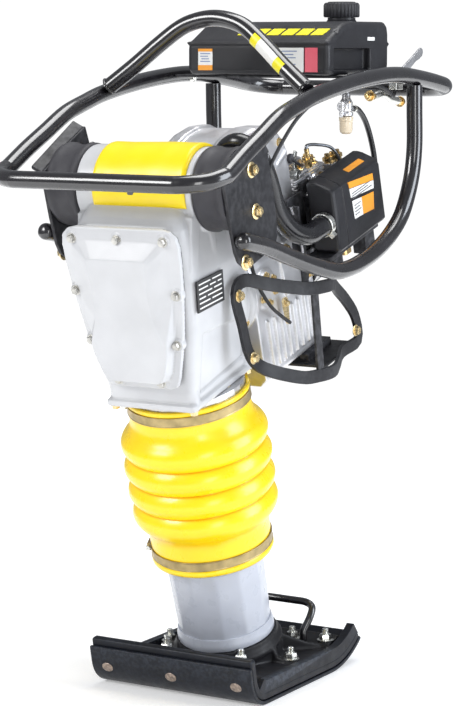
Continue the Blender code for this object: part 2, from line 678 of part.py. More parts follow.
SIDE_LOOP = [(185, 238, 910.0), (185, 238.5, 890), (185, 239, 870), (185, 240, 815), (185, 229, 765), (185, 200, 715),
             (185, 160, 684), (185, 110, 661), (185, 55, 646), (185, 10, 640), (183, -26, 641),
             (177, -78, 653), (171, -140, 671), (169.4, -205, 690), (169.4, -266, 702)]


def make_side_loops(handle):
    for name, route in (("side_loop_left", SIDE_LOOP), ("side_loop_right", mirrored(SIDE_LOOP))):
        tube(name, smooth_path(route, 2), FRAME_TUBE_RADIUS, handle, BLACK_PAINT)


PLATE_OUTLINE = [(-58, 840), (-57, 770), (-54, 728), (-40, 702), (-22, 694), (20, 696), (50, 699),
                 (66, 712), (72, 770), (70, 840), (66, 871), (4, 858)]


def make_side_plate(leg_handle, name, side):
    inner = side * PLATE_X
    outer = side * (PLATE_X + PLATE_THICKNESS)
    low, high = sorted((inner, outer))
    plate = prism(name, PLATE_OUTLINE, low, high, "x", leg_handle, BLACK_PAINT)
    ends = [(-56, 838), (66, 869)]
    verts = []
    for y, z in ends:
        for x, rise in ((151, -6), (172, 6), (171, 11), (151, 0)):
            verts.append((side * x, y, z + rise))
    faces = [[0, 1, 2, 3], [4, 5, 6, 7]] + [[i, (i + 1) % 4, 4 + (i + 1) % 4, 4 + i] for i in range(4)]
    join_on(plate, solid(name + "_flange", verts, faces, leg_handle, None))
    for index, (y, z) in enumerate(((18, 827), (14, 766), (-33, 706))):
        profile = [(0, 154), (8, 154), (8, 162), (0, 162)]
        bolt = turned("%s_bolt_%d" % (name, index), [(r, side * h) for r, h in profile], "x",
                      leg_handle, None, at=(0, y, z), segments=6)
        join_on(plate, bolt)


def make_mounts(leg):
    for name, side in (("rubber_mount_left", 1), ("rubber_mount_right", -1)):
        ends = sorted((side * (DRUM_HALF_LENGTH + GAP), side * (PLATE_X - GAP)))
        rod(name, 62, ends[0], ends[1], "x", leg, RUBBER, at=(0, 0, DRUM_Z), segments=36)


def make_tank(handle):
    half = TANK_HALF_WIDTH
    profile = [(61, 935), (67, 929), (258, 929), (265, 936), (265, 1000), (255, 1012), (130, 1012),
               (112, 1007), (66, 981), (61, 974)]
    tank = prism("fuel_tank", profile, -half, half, "x", handle, BLACK_PLASTIC)
    cut_from(tank, block("tank_recess", (half - 14, 80, 938), (half + 20, 200, 969), handle, None))
    neck = rod("filler_neck", 22, 1005, 1018, "z", handle, None, at=(*CAP_XY, 0))
    join_on(tank, neck)
    plan = [(120, 88), (172 - GAP, 98), (172 - GAP, 126), (120, 136)]
    plan += [(-x, y) for x, y in plan[::-1]]
    prism("tank_cradle", plan, 924.5, 929 - GAP, "z", handle, BLACK_PAINT)
    turned("fuel_cap", [(0, 1018.3), (28, 1018.3), (29, 1022), (29, 1040), (26, 1043), (0, 1043)], "z",
           empty("cap_axis", handle, at=(*CAP_XY, 0)), BLACK_PLASTIC)


def make_fuel_filter(handle):
    x, y = FILTER_XY
    profile = [(0, 864), (11, 864), (11, 893), (5, 897), (5, 929 - GAP), (0, 929 - GAP)]
    body = turned("fuel_cock", profile, "z", handle, STEEL, at=(x, y, 0), segments=16)
    join_on(body, rod("cock_outlet", 4, 8, 20, "y", handle, None, at=(x, y, 877), segments=10))
    profile = [(0, 837), (8, 837), (10.5, 842), (10.5, 864 - GAP), (0, 864 - GAP)]
    turned("filter_bowl", profile, "z", handle, BOWL, at=(x, y, 0), segments=16)
    turn = empty("cock_axis", handle, at=(x, y, 880))
    knob = turned("fuel_cock_lever", [(0, -15), (9, -15), (9, -11.5), (0, -11.5)], "y", turn, STEEL, segments=16)
    join_on(knob, block("cock_tab", (-3, -17, -16), (3, -14, 8), turn, None))
    route = [(x, y + 20.4, 877), (x, y + 40, 874), (x - 2, y + 68, 856), (x - 4, y + 92, 826), (x - 4, y + 106, 790),
             (x - 5, y + 108, 756), (x - 10, y + 108, 722)]
    return route


def make_hoses(handle, leg):
    route = make_fuel_filter(handle)
    frame = Matrix.Translation((0, LEG_FOOT_Y, 0)) @ Matrix.Rotation(LEAN, 4, "X")
    lead = [tuple(frame @ Vector(spot)) for spot in ((82, 446, 612), (78, 428, 577), (78, 414, 577), (78, 396.4, 577))]
    tube("fuel_hose", smooth_path(route + lead, 2), 4.5, handle, RUBBER, resolution=2)
    lower = [(141, 88, 800), (130, 92, 755), (112, 92, 716), (92, 92, 684), (86, 93, 656), (85, 105, 614),
             (85, 130, 572), (83, 160, 543), (82, 186, 521)]
    route = [(156, 226, 904.6), (156, 226, 901), (157, 222, 897), (162, 206, 897), (166, 180, 906), (167, 140, 913),
             (167, 90, 911), (167, 30, 905), (167, -30, 898), (164, -76, 882), (156, -112, 852)]
    route += [tuple(frame @ Vector(spot)) for spot in lower]
    tube("throttle_cable", smooth_path(route, 3), 2.5, handle, RUBBER, resolution=2)


def make_throttle(handle):
    x, y, z = THROTTLE_PIVOT
    plan = [(-14, -12), (12, -12), (12, 12), (-14, 12)]
    bracket = prism("throttle_bracket", [(y + a, z - 8 + b) for a, b in plan], 156, 164, "x", handle, STEEL)
    join_on(bracket, block("bracket_foot", (150, y - 20, 905), (164, y + 6, 926), handle, None))
    pivot = empty("throttle_axis", handle, at=THROTTLE_PIVOT)
    blade = [(-8, -6), (6, -8), (12, 0), (62, 26), (64, 34), (56, 36), (-2, 8)]
    lever = prism("throttle_lever", blade, -2, 1.5, "x", pivot, STEEL)
    return lever


def make_cross_tube(handle):
    rod("cross_tube", 11, GAP - PLATE_X, PLATE_X - GAP, "x", handle, BLACK_PAINT,
        at=(0, -172.7, 817.8), segments=20)


# ---------------------------------------------------------------- assembly
def build():
    clear_scene()
    leg = empty("leg_frame", at=(0, LEG_FOOT_Y, 0), turn=(LEAN, 0, 0))
    drum_y = LEG_FOOT_Y - DRUM_Z * math.sin(LEAN)
    drum_z = DRUM_Z * math.cos(LEAN)
    rock = empty("handle_axis", at=(0, drum_y, drum_z))
    handle = empty("handle_frame", rock, at=(0, -drum_y, -drum_z))
    plates = empty("plate_frame", handle, at=(0, LEG_FOOT_Y, 0), turn=(LEAN, 0, 0))

    make_shoe()
    make_shoe_casting(leg)
    make_bail_bar()
    make_leg(leg)
    make_guide(leg)
    make_bellows(leg)
    make_piston(leg)
    make_connecting_rod(leg)
    make_crank_gear(leg)
    make_clutch(leg)
    make_crankcase(leg)
    make_front_cover(leg)
    make_drum_cover(leg)
    make_engine(leg)
    make_air_cleaner(leg)
    make_guard(leg, "guard_left", 1)
    make_guard(leg, "guard_right", -1)
    make_skid_plate(leg)
    make_governor_arm(leg)
    make_starter(leg)
    make_mounts(leg)
    make_handle_loop(handle)
    make_lifting_arch(handle)
    make_side_loops(handle)
    make_side_plate(plates, "side_plate_left", 1)
    make_side_plate(plates, "side_plate_right", -1)
    make_cross_tube(handle)
    make_tank(handle)
    make_throttle(handle)
    make_hoses(handle, leg)


build()
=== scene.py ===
import json
import math

import bmesh
import bpy
import numpy as np
from mathutils import Matrix, Vector


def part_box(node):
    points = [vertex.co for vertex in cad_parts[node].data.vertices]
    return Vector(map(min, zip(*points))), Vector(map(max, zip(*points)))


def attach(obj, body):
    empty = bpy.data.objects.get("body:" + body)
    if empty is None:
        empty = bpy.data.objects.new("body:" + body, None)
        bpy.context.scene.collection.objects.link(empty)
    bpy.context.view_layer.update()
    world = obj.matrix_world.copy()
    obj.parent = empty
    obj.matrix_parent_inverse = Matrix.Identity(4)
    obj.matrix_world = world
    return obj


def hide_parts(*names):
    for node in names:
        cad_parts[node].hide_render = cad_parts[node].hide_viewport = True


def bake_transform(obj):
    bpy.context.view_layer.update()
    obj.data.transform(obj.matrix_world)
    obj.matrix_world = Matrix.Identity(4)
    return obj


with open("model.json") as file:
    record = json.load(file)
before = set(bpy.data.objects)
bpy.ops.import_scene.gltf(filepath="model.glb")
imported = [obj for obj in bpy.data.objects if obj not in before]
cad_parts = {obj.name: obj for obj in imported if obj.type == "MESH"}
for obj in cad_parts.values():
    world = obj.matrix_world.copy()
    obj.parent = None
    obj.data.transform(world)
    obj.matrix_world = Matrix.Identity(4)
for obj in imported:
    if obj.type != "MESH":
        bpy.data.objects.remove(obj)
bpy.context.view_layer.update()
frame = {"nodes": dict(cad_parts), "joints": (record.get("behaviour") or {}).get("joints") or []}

MM = 0.001
JOINTS = {joint["name"]: joint for joint in frame["joints"]}
WORLD = Matrix.Scale(MM, 4)


def leg_frame():
    """The leaning frame: its Z is the foot's slide, and its origin is on the ground."""
    up = Vector(JOINTS["foot_slide"]["axis"]).normalized()
    back = Vector(JOINTS["crank_spin"]["axis"]).normalized()
    drum = Vector(JOINTS["handle_rock"]["pos_m"])
    origin = drum - up * (drum.z / up.z)
    turn = Matrix((back.cross(up), back, up)).transposed().to_4x4()
    return Matrix.Translation(origin) @ turn @ Matrix.Scale(MM, 4)


LEG = leg_frame()


def leg_point(x, y, z):
    """A place in the leg frame, in the row frame's metres."""
    return LEG @ Vector((x, y, z))


def in_leg(x, y, z):
    """A place in the row frame, in millimetres, as leg frame millimetres."""
    return tuple(LEG.inverted() @ (Vector((x, y, z)) * MM))


def joint_place(name):
    """Where a joint is, in the row frame's millimetres."""
    return [value / MM for value in JOINTS[name]["pos_m"]]


DRUM_Z = in_leg(*joint_place("handle_rock"))[2]
SHAFT_Z = in_leg(*joint_place("engine_spin"))[2]


# ---------------------------------------------------------------- materials
def finish(name, colour, roughness, metallic=0.0, spread=0.10, patch=18.0, grain=900.0, depth=0.05,
           rub=None, hollow_shade=None, **sockets):
    """A surface with patches of tone and gloss, a fine grain, worn edges and painted shade in its hollows.

    spread is how far the tone strays, patch and grain are noise scales per metre, and depth is the
    grain's height in millimetres. rub is the colour of worn edges; the hollow colour is painted shade,
    darkening the hollows.
    """
    made = bpy.data.materials.new(name)
    made.use_nodes = True
    tree = made.node_tree
    shader = tree.nodes["Principled BSDF"]
    shader.inputs["Metallic"].default_value = metallic
    for socket, value in sockets.items():
        shader.inputs[socket.replace("_", " ")].default_value = value
    place = tree.nodes.new("ShaderNodeTexCoord").outputs["Object"]

    def noise(scale, detail):
        node = tree.nodes.new("ShaderNodeTexNoise")
        node.inputs["Scale"].default_value = scale
        node.inputs["Detail"].default_value = detail
        tree.links.new(place, node.inputs["Vector"])
        return node.outputs["Fac"]

    def span(source, low, high, start=0.3, stop=0.7):
        node = tree.nodes.new("ShaderNodeMapRange")
        for socket, value in zip(node.inputs[1:5], (start, stop, low, high)):
            socket.default_value = value
        tree.links.new(source, node.inputs[0])
        return node.outputs[0]

    def mix(share, first, second):
        node = tree.nodes.new("ShaderNodeMix")
        node.data_type = "RGBA"
        tree.links.new(share, node.inputs["Factor"])
        for socket, value in ((node.inputs["A"], first), (node.inputs["B"], second)):
            if isinstance(value, tuple):
                socket.default_value = (*value, 1.0)
            else:
                tree.links.new(value, socket)
        return node.outputs["Result"]

    dark = tuple(value * (1 - spread) for value in colour)
    light = tuple(min(1.0, value * (1 + spread)) for value in colour)
    tone = mix(span(noise(patch, 5.0), 0.0, 1.0), dark, light)
    if rub or hollow_shade:
        edge = tree.nodes.new("ShaderNodeNewGeometry").outputs["Pointiness"]
        scuffs = span(noise(patch * 6, 6.0), 0.25, 1.0, 0.42, 0.62)
        # painted shade: concave spots (low pointiness) are darkened towards the hollow colour
        if hollow_shade:
            tone = mix(span(edge, 0.75, 0.0, 0.44, 0.495), tone, hollow_shade)
        if rub:
            share = tree.nodes.new("ShaderNodeMath")
            share.operation = "MULTIPLY"
            tree.links.new(span(edge, 0.0, 0.8, 0.53, 0.60), share.inputs[0])
            tree.links.new(scuffs, share.inputs[1])
            tone = mix(share.outputs[0], tone, rub)
    tree.links.new(tone, shader.inputs["Base Color"])
    gloss = span(noise(patch * 2.5, 6.0), max(0.03, roughness - 0.07), min(1.0, roughness + 0.09))
    tree.links.new(gloss, shader.inputs["Roughness"])
    bump = tree.nodes.new("ShaderNodeBump")
    bump.inputs["Distance"].default_value = depth * MM
    bump.inputs["Strength"].default_value = 1.0
    tree.links.new(noise(grain, 3.0), bump.inputs["Height"])
    tree.links.new(bump.outputs["Normal"], shader.inputs["Normal"])
    return made


def brushed(name, colour, roughness, stretch=(1, 1, 30), **sockets):
    """Bare metal with fine lines along one direction of the row frame."""
    made = finish(name, colour, roughness, metallic=1.0, spread=0.08, depth=0.02, **sockets)
    tree = made.node_tree
    place = next(node for node in tree.nodes if node.bl_idname == "ShaderNodeTexCoord")
    mapping = tree.nodes.new("ShaderNodeMapping")
    mapping.inputs["Scale"].default_value = stretch
    tree.links.new(place.outputs["Object"], mapping.inputs["Vector"])
    lines = tree.nodes.new("ShaderNodeTexNoise")
    lines.inputs["Scale"].default_value = 120.0
    tree.links.new(mapping.outputs["Vector"], lines.inputs["Vector"])
    bump = next(node for node in tree.nodes if node.bl_idname == "ShaderNodeBump")
    tree.links.new(lines.outputs["Fac"], bump.inputs["Height"])
    return made


# In the grey and aluminium finishes below, the darker colour in the hollows is painted shade.
CAST_GREY = finish("grey enamel on cast aluminium", (0.53, 0.535, 0.55), 0.38, spread=0.05, grain=420,
                   depth=0.10, rub=(0.72, 0.72, 0.74), hollow_shade=(0.26, 0.255, 0.25), Coat_Weight=0.3,
                   Coat_Roughness=0.2)
LEG_GREY = finish("grey enamel on the leg", (0.46, 0.485, 0.55), 0.30, spread=0.05, grain=500, depth=0.04,
                  hollow_shade=(0.30, 0.31, 0.34), Coat_Weight=0.4, Coat_Roughness=0.15)
CAST_ALUMINIUM = finish("cast aluminium", (0.66, 0.66, 0.68), 0.42, metallic=0.85, spread=0.12, grain=600,
                        depth=0.12, rub=(0.9, 0.9, 0.9), hollow_shade=(0.25, 0.25, 0.25))
BRIGHT_ALUMINIUM = finish("machined aluminium", (0.80, 0.80, 0.82), 0.28, metallic=0.95, grain=1500,
                          depth=0.02, hollow_shade=(0.35, 0.35, 0.35))
# The orange and deep yellow in the hollows of these two finishes are painted shade in the grooves and
# creases.
YELLOW_RUBBER = finish("yellow rubber", (0.95, 0.66, 0.002), 0.30, spread=0.04, grain=1200, depth=0.02,
                       hollow_shade=(0.80, 0.32, 0.0), Coat_Weight=0.35, Coat_Roughness=0.18)
YELLOW_PLASTIC = finish("yellow plastic", (0.94, 0.70, 0.003), 0.36, spread=0.04, grain=1000, depth=0.05,
                        hollow_shade=(0.75, 0.50, 0.0), Coat_Weight=0.2, Coat_Roughness=0.25)
BLACK_PAINT = finish("black powder coat", (0.008, 0.007, 0.009), 0.30, spread=0.3, grain=450, depth=0.03,
                     Coat_Weight=0.7, Coat_Roughness=0.12, Coat_IOR=1.75, Specular_IOR_Level=0.35)
SATIN_BLACK = finish("satin black paint", (0.010, 0.010, 0.012), 0.45, spread=0.3, grain=700, depth=0.06,
                     rub=(0.10, 0.10, 0.11), Specular_IOR_Level=0.3)
SHOE_BLACK = finish("black moulded shoe", (0.005, 0.006, 0.010), 0.44, spread=0.4, patch=30, grain=500,
                    depth=0.20, rub=(0.05, 0.06, 0.08), Coat_Weight=0.08, Coat_Roughness=0.3,
                    Specular_IOR_Level=0.22)
BLACK_PLASTIC = finish("black grained plastic", (0.016, 0.016, 0.019), 0.42, spread=0.2, grain=1600,
                       depth=0.08, rub=(0.06, 0.06, 0.07), Specular_IOR_Level=0.4)
RUBBER = finish("black rubber", (0.013, 0.013, 0.015), 0.55, spread=0.2, grain=800, depth=0.08)
HOSE_RUBBER = finish("black hose", (0.009, 0.009, 0.011), 0.26, spread=0.2, grain=900, depth=0.02,
                     Coat_Weight=0.4, Coat_Roughness=0.15, Specular_IOR_Level=0.4)
GREY_RUBBER = finish("dark grey rubber", (0.038, 0.037, 0.043), 0.60, spread=0.15, grain=700, depth=0.10)
YELLOW_ZINC = finish("yellow zinc", (0.80, 0.64, 0.36), 0.28, metallic=1.0, spread=0.22, patch=160,
                     grain=1800, depth=0.02)
WHITE_ZINC = finish("bright zinc", (0.74, 0.74, 0.70), 0.26, metallic=1.0, spread=0.15, patch=120,
                    grain=1800, depth=0.02)
DULL_ZINC = finish("dull zinc", (0.50, 0.49, 0.46), 0.38, metallic=0.9, spread=0.2, patch=120, grain=1500,
                   depth=0.03)
BRASS = finish("brass", (0.80, 0.58, 0.27), 0.25, metallic=1.0, spread=0.15, patch=120, grain=1500,
               depth=0.02)
RUSTY_STEEL = finish("blued steel with rust", (0.30, 0.24, 0.20), 0.45, metallic=0.8, spread=0.4, patch=260,
                     grain=900, depth=0.10)
CLAMP_STEEL = finish("passivated steel band", (0.40, 0.31, 0.15), 0.38, metallic=0.85, spread=0.25,
                     patch=60, grain=1500, depth=0.02)
STEEL = brushed("turned steel", (0.62, 0.62, 0.63), 0.28)
DARK_STEEL = finish("heat treated steel", (0.20, 0.21, 0.23), 0.36, metallic=0.9, spread=0.2, patch=50,
                    grain=900, depth=0.05)
MUFFLER_STEEL = finish("heat-proof black", (0.06, 0.055, 0.055), 0.60, metallic=0.3, spread=0.3, patch=35,
                       grain=900, depth=0.10, rub=(0.20, 0.15, 0.12))
CREAM_BOWL = finish("cream translucent plastic", (0.82, 0.70, 0.52), 0.22, spread=0.06, patch=80, grain=900,
                    depth=0.01, Transmission_Weight=0.25, Coat_Weight=0.3)
LABEL_WHITE = finish("white label", (0.82, 0.82, 0.80), 0.35, spread=0.03, grain=1500, depth=0.01)
LABEL_ORANGE = finish("orange label", (0.86, 0.34, 0.03), 0.35, spread=0.04, grain=1500, depth=0.01)
LABEL_YELLOW = finish("yellow label", (0.88, 0.78, 0.02), 0.35, spread=0.04, grain=1500, depth=0.01)
LABEL_PINK = finish("pink label", (0.80, 0.13, 0.18), 0.35, spread=0.04, grain=1500, depth=0.01)
LABEL_BLACK = finish("black label", (0.02, 0.02, 0.022), 0.35, spread=0.1, grain=1500, depth=0.01)


# ---------------------------------------------------------------- shape building
AXES = {"x": (1, 2, 0), "y": (0, 2, 1), "z": (0, 1, 2)}
TURN_TO = {"x": Matrix.Rotation(math.pi / 2, 4, "Y"), "y": Matrix.Rotation(-math.pi / 2, 4, "X"),
           "z": Matrix.Identity(4)}


def move(x, y, z):
    """A local frame at a place, not turned."""
    return Matrix.Translation((x, y, z))


def axis_at(axis, x, y, z):
    """A local frame at a place, its Z along an axis."""
    return Matrix.Translation((x, y, z)) @ TURN_TO[axis]


def rectangle(low_a, low_b, high_a, high_b):
    return [(low_a, low_b), (high_a, low_b), (high_a, high_b), (low_a, high_b)]


def facing(at, direction, spin=0.0):
    """A local frame at a place, its Z along a direction."""
    turn = Vector(direction).normalized().to_track_quat("Z", "Y").to_matrix().to_4x4()
    return Matrix.Translation(at) @ turn @ Matrix.Rotation(spin, 4, "Z")


def smooth_path(points, steps, closed=False):
    """Catmull-Rom curve through the points, with so many steps for each span."""
    knots = [np.array(point, float) for point in points]
    if closed:
        knots = [knots[-1]] + knots + knots[:2]
    else:
        knots = [2 * knots[0] - knots[1]] + knots + [2 * knots[-1] - knots[-2]]
    path = []
    for a, b, c, d in zip(knots, knots[1:], knots[2:], knots[3:]):
        for step in range(steps):
            t = step / steps
            path.append(0.5 * (2 * b + (c - a) * t + (2 * a - 5 * b + 4 * c - d) * t ** 2
                               + (3 * b - a - 3 * c + d) * t ** 3))
    if not closed:
        path.append(knots[-2])
    return path


def mirrored(points):
    return [(-x, y, z) for x, y, z in points]


def rounded_box(half_x, low_y, high_y, corner, steps=5):
    """Outline of a rectangle with round corners, counter-clockwise."""
    centres = [(half_x - corner, high_y - corner, 0), (corner - half_x, high_y - corner, 90),
               (corner - half_x, low_y + corner, 180), (half_x - corner, low_y + corner, 270)]
    outline = []
    for x, y, start in centres:
        for step in range(steps + 1):
            angle = math.radians(start + 90 * step / steps)
            outline.append((x + corner * math.cos(angle), y + corner * math.sin(angle)))
    return outline


def sleeve(count=4):
    """Faces of a closed solid between two rings of count points each."""
    faces = [list(range(count)), list(range(count, 2 * count))]
    return faces + [[i, (i + 1) % count, count + (i + 1) % count, count + i] for i in range(count)]


class Shape:
    """Closed skins in millimetres, gathered in one frame into one mesh."""

    def __init__(self, where=WORLD):
        self.where = where
        self.verts = []
        self.faces = []

    def skin(self, verts, faces, at=None):
        base = len(self.verts)
        at = at or Matrix.Identity(4)
        self.verts += [at @ Vector(vert) for vert in verts]
        self.faces += [[base + index for index in face] for face in faces]
        return self

    def rings(self, rings, at=None, closed=False, caps=True):
        """Skins a row of rings with the same number of points."""
        count = len(rings[0])
        faces = []
        last = len(rings) if closed else len(rings) - 1
        for level in range(last):
            low, high = level * count, (level + 1) % len(rings) * count
            for i in range(count):
                j = (i + 1) % count
                faces.append([low + i, low + j, high + j, high + i])
        if caps and not closed:
            end = (len(rings) - 1) * count
            faces += [list(range(count)), list(range(end, end + count))]
        return self.skin([vert for ring in rings for vert in ring], faces, at)

    def turned(self, profile, at=None, segments=48, squash=None):
        """A profile of (radius, height) about Z. Open ends at radius 0 close it; others make a ring."""
        solid = profile[0][0] == 0 and profile[-1][0] == 0
        rings = []
        for radius, height in profile:
            ring = []
            for step in range(segments):
                angle = 2 * math.pi * (step + 0.5) / segments
                reach = max(radius, 0.01) * (squash(angle) if squash else 1)
                ring.append((reach * math.cos(angle), reach * math.sin(angle), height))
            rings.append(ring)
        return self.rings(rings, at, closed=not solid)

    def prism(self, outline, low, high, axis="z", at=None):
        count = len(outline)
        one, two, three = AXES[axis]
        verts = []
        for level in (low, high):
            for a, b in outline:
                vert = [0.0, 0.0, 0.0]
                vert[one], vert[two], vert[three] = a, b, level
                verts.append(vert)
        return self.skin(verts, sleeve(count), at)

    def box(self, low, high, at=None):
        outline = rectangle(*low[:2], *high[:2])
        return self.prism(outline, low[2], high[2], "z", at)

    def tube(self, points, radius, sides=28, closed=False, wide=1.0, dome=0.0):
        """A round tube along points; wide stretches its section and dome rounds its far end."""
        path = [np.array(point, float) for point in points]
        count = len(path)
        rings = []
        across = None
        for index, spot in enumerate(path):
            if closed:
                along = path[(index + 1) % count] - path[index - 1]
            else:
                along = path[min(index + 1, count - 1)] - path[max(index - 1, 0)]
            along = along / np.linalg.norm(along)
            if across is None:
                start = np.array((0, 0, 1.0)) if abs(along[2]) < 0.9 else np.array((1.0, 0, 0))
                across = start - along * (start @ along)
            across = across - along * (across @ along)
            across = across / np.linalg.norm(across)
            side = np.cross(along, across)
            reach = radius(index / (count - 1)) if callable(radius) else radius
            ring = []
            for step in range(sides):
                angle = 2 * math.pi * step / sides
                ring.append(spot + reach * (math.cos(angle) * across + wide * math.sin(angle) * side))
            rings.append(ring)
        for degrees in (20, 40, 60, 76) if dome else ():
            turn = math.radians(degrees)
            centre = path[-1] + along * dome * math.sin(turn)
            rings.append([centre + (spot - path[-1]) * math.cos(turn) for spot in ring])
        return self.rings(rings, closed=closed)

    def bolt(self, at, direction, across=13.0, height=6.0, washer=True, stud=0.0, spin=0.0):
        """A hexagon head or nut with a chamfer, its washer, and the stud that comes through it."""
        place = facing(at, direction, spin)
        rise = 0.0
        if washer:
            rise = 1.6
            self.turned([(0, 0), (across * 0.78, 0), (across * 0.78, 1.2), (across * 0.74, rise),
                         (0, rise)], place, 28)
        corner = across / math.sqrt(3)
        rings = []
        for share, level in ((1, 0), (1, 0.82), (0.90, 1)):
            rings.append([(corner * share * math.cos(math.pi * k / 3),
                           corner * share * math.sin(math.pi * k / 3), rise + height * level)
                          for k in range(6)])
        self.rings(rings, place)
        top = rise + height
        if stud:
            bore = across * 0.30
            profile = [(0, top - 1), (bore, top - 1)]
            turns = max(2, int(stud / 1.5))
            for turn in range(turns):
                level = top + stud * (turn + 0.5) / turns
                profile += [(bore, level), (bore - 0.5, level + 0.4)]
            profile += [(bore - 1, top + stud + 0.5), (0, top + stud + 0.5)]
            self.turned(profile, place, 20)
        else:
            self.turned([(0, top - 0.5), (corner * 0.62, top - 0.5), (corner * 0.56, top + 0.5),
                         (0, top + 0.5)], place, 24)
        return self

    def mesh(self, name):
        shape = bmesh.new()
        verts = [shape.verts.new(self.where @ Vector(vert)) for vert in self.verts]
        for face in self.faces:
            shape.faces.new([verts[index] for index in face])
        bmesh.ops.remove_doubles(shape, verts=shape.verts, dist=1e-7)
        bmesh.ops.recalc_face_normals(shape, faces=shape.faces)
        made = bpy.data.meshes.new(name)
        shape.to_mesh(made)
        shape.free()
        return made


def settle(shape_object):
    """Applies an object's modifiers."""
    graph = bpy.context.evaluated_depsgraph_get()
    made = bpy.data.meshes.new_from_object(shape_object.evaluated_get(graph))
    shape_object.modifiers.clear()
    shape_object.data = made
    return shape_object


def linked(name, mesh):
    made = bpy.data.objects.new(name, mesh)
    bpy.context.scene.collection.objects.link(made)
    return made


def cast(name, shape, cuts=(), voxel=1.8, soften=6, keep=0.45):
    """One casting from overlapping skins, less the cuts, with all its edges rounded."""
    body = linked(name, shape.mesh(name))
    cutters = []
    for index, cut in enumerate(cuts):
        cutter = linked("%s_cut_%d" % (name, index), cut.mesh("cut"))
        cutters.append(cutter)
        change = body.modifiers.new("cut", "BOOLEAN")
        change.operation = "DIFFERENCE"
        change.object = cutter
        change.use_self = True
    skin = body.modifiers.new("skin", "REMESH")
    skin.mode = "VOXEL"
    skin.voxel_size = voxel * MM
    smooth = body.modifiers.new("soften", "SMOOTH")
    smooth.iterations = soften
    smooth.factor = 0.5
    thin = body.modifiers.new("thin", "DECIMATE")
    thin.ratio = keep
    settle(body)
    for cutter in cutters:
        bpy.data.objects.remove(cutter, do_unlink=True)
    return body


def put(made, look, body, replaces=(), bevel=0.0, segments=2, smooth=35):
    """Shades a piece, rounds its edges, and sends it with its body."""
    made.data.materials.clear()
    made.data.materials.append(look)
    made.data.shade_smooth()
    if bevel:
        change = made.modifiers.new("round", "BEVEL")
        change.width = bevel * MM
        change.segments = segments
        change.limit_method = "ANGLE"
        change.angle_limit = math.radians(28)
        made.modifiers.new("flat", "WEIGHTED_NORMAL").keep_sharp = True
    else:
        made.data.set_sharp_from_angle(angle=math.radians(smooth))
    if body:
        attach(made, body)
    if replaces:
        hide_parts(*replaces)
    return made


def piece(name, shape, look, body, replaces=(), bevel=0.0, segments=2, smooth=35):
    return put(linked(name, shape.mesh(name)), look, body, replaces, bevel, segments, smooth)


def bolt_set(name, look, body, places, direction, where=LEG, **head):
    """Equal bolts, all turned the same way, as one piece."""
    bolts = Shape(where)
    for place in places:
        bolts.bolt(place, direction, **head)
    return piece(name, bolts, look, body)


def shaft_circle(radius, y, angles):
    """Places on a circle round the engine's shaft."""
    turns = [math.radians(angle) for angle in angles]
    return [(radius * math.cos(turn), y, SHAFT_Z + radius * math.sin(turn)) for turn in turns]


# ---------------------------------------------------------------- foot
FOOT_HALF_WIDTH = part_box("shoe_sole")[1].x / MM
FLAT_FRONT_Y = -148.0
FLAT_REAR_Y = 56.0
TOE_RADIUS = 48.0
TOE_TURN = 78
TOE_LIP = 36.0
HEEL_RADIUS = 152.0
HEEL_TURN = 39.5
SHOE_RIDE = "foot"


def shoe_line(depth, lip=TOE_LIP, toe_from=TOE_TURN, toe_steps=16, heel_steps=12):
    """Side view of the shoe, front lip to heel, at a depth inside its outer face."""
    line = []
    radius = TOE_RADIUS - depth
    if lip:
        turn = math.radians(TOE_TURN)
        line.append((FLAT_FRONT_Y - radius * math.sin(turn) - lip * math.cos(turn),
                     TOE_RADIUS - radius * math.cos(turn) + lip * math.sin(turn)))
    for step in range(toe_steps + 1):
        turn = math.radians(toe_from * (1 - step / toe_steps))
        line.append((FLAT_FRONT_Y - radius * math.sin(turn), TOE_RADIUS - radius * math.cos(turn)))
    radius = HEEL_RADIUS - depth
    for step in range(heel_steps + 1):
        turn = math.radians(HEEL_TURN * step / heel_steps)
        line.append((FLAT_REAR_Y + radius * math.sin(turn), HEEL_RADIUS - radius * math.cos(turn)))
    return line


def board_height(y, depth=20.0):
    if y <= FLAT_REAR_Y:
        return depth
    return HEEL_RADIUS - math.sqrt((HEEL_RADIUS - depth) ** 2 - (y - FLAT_REAR_Y) ** 2)


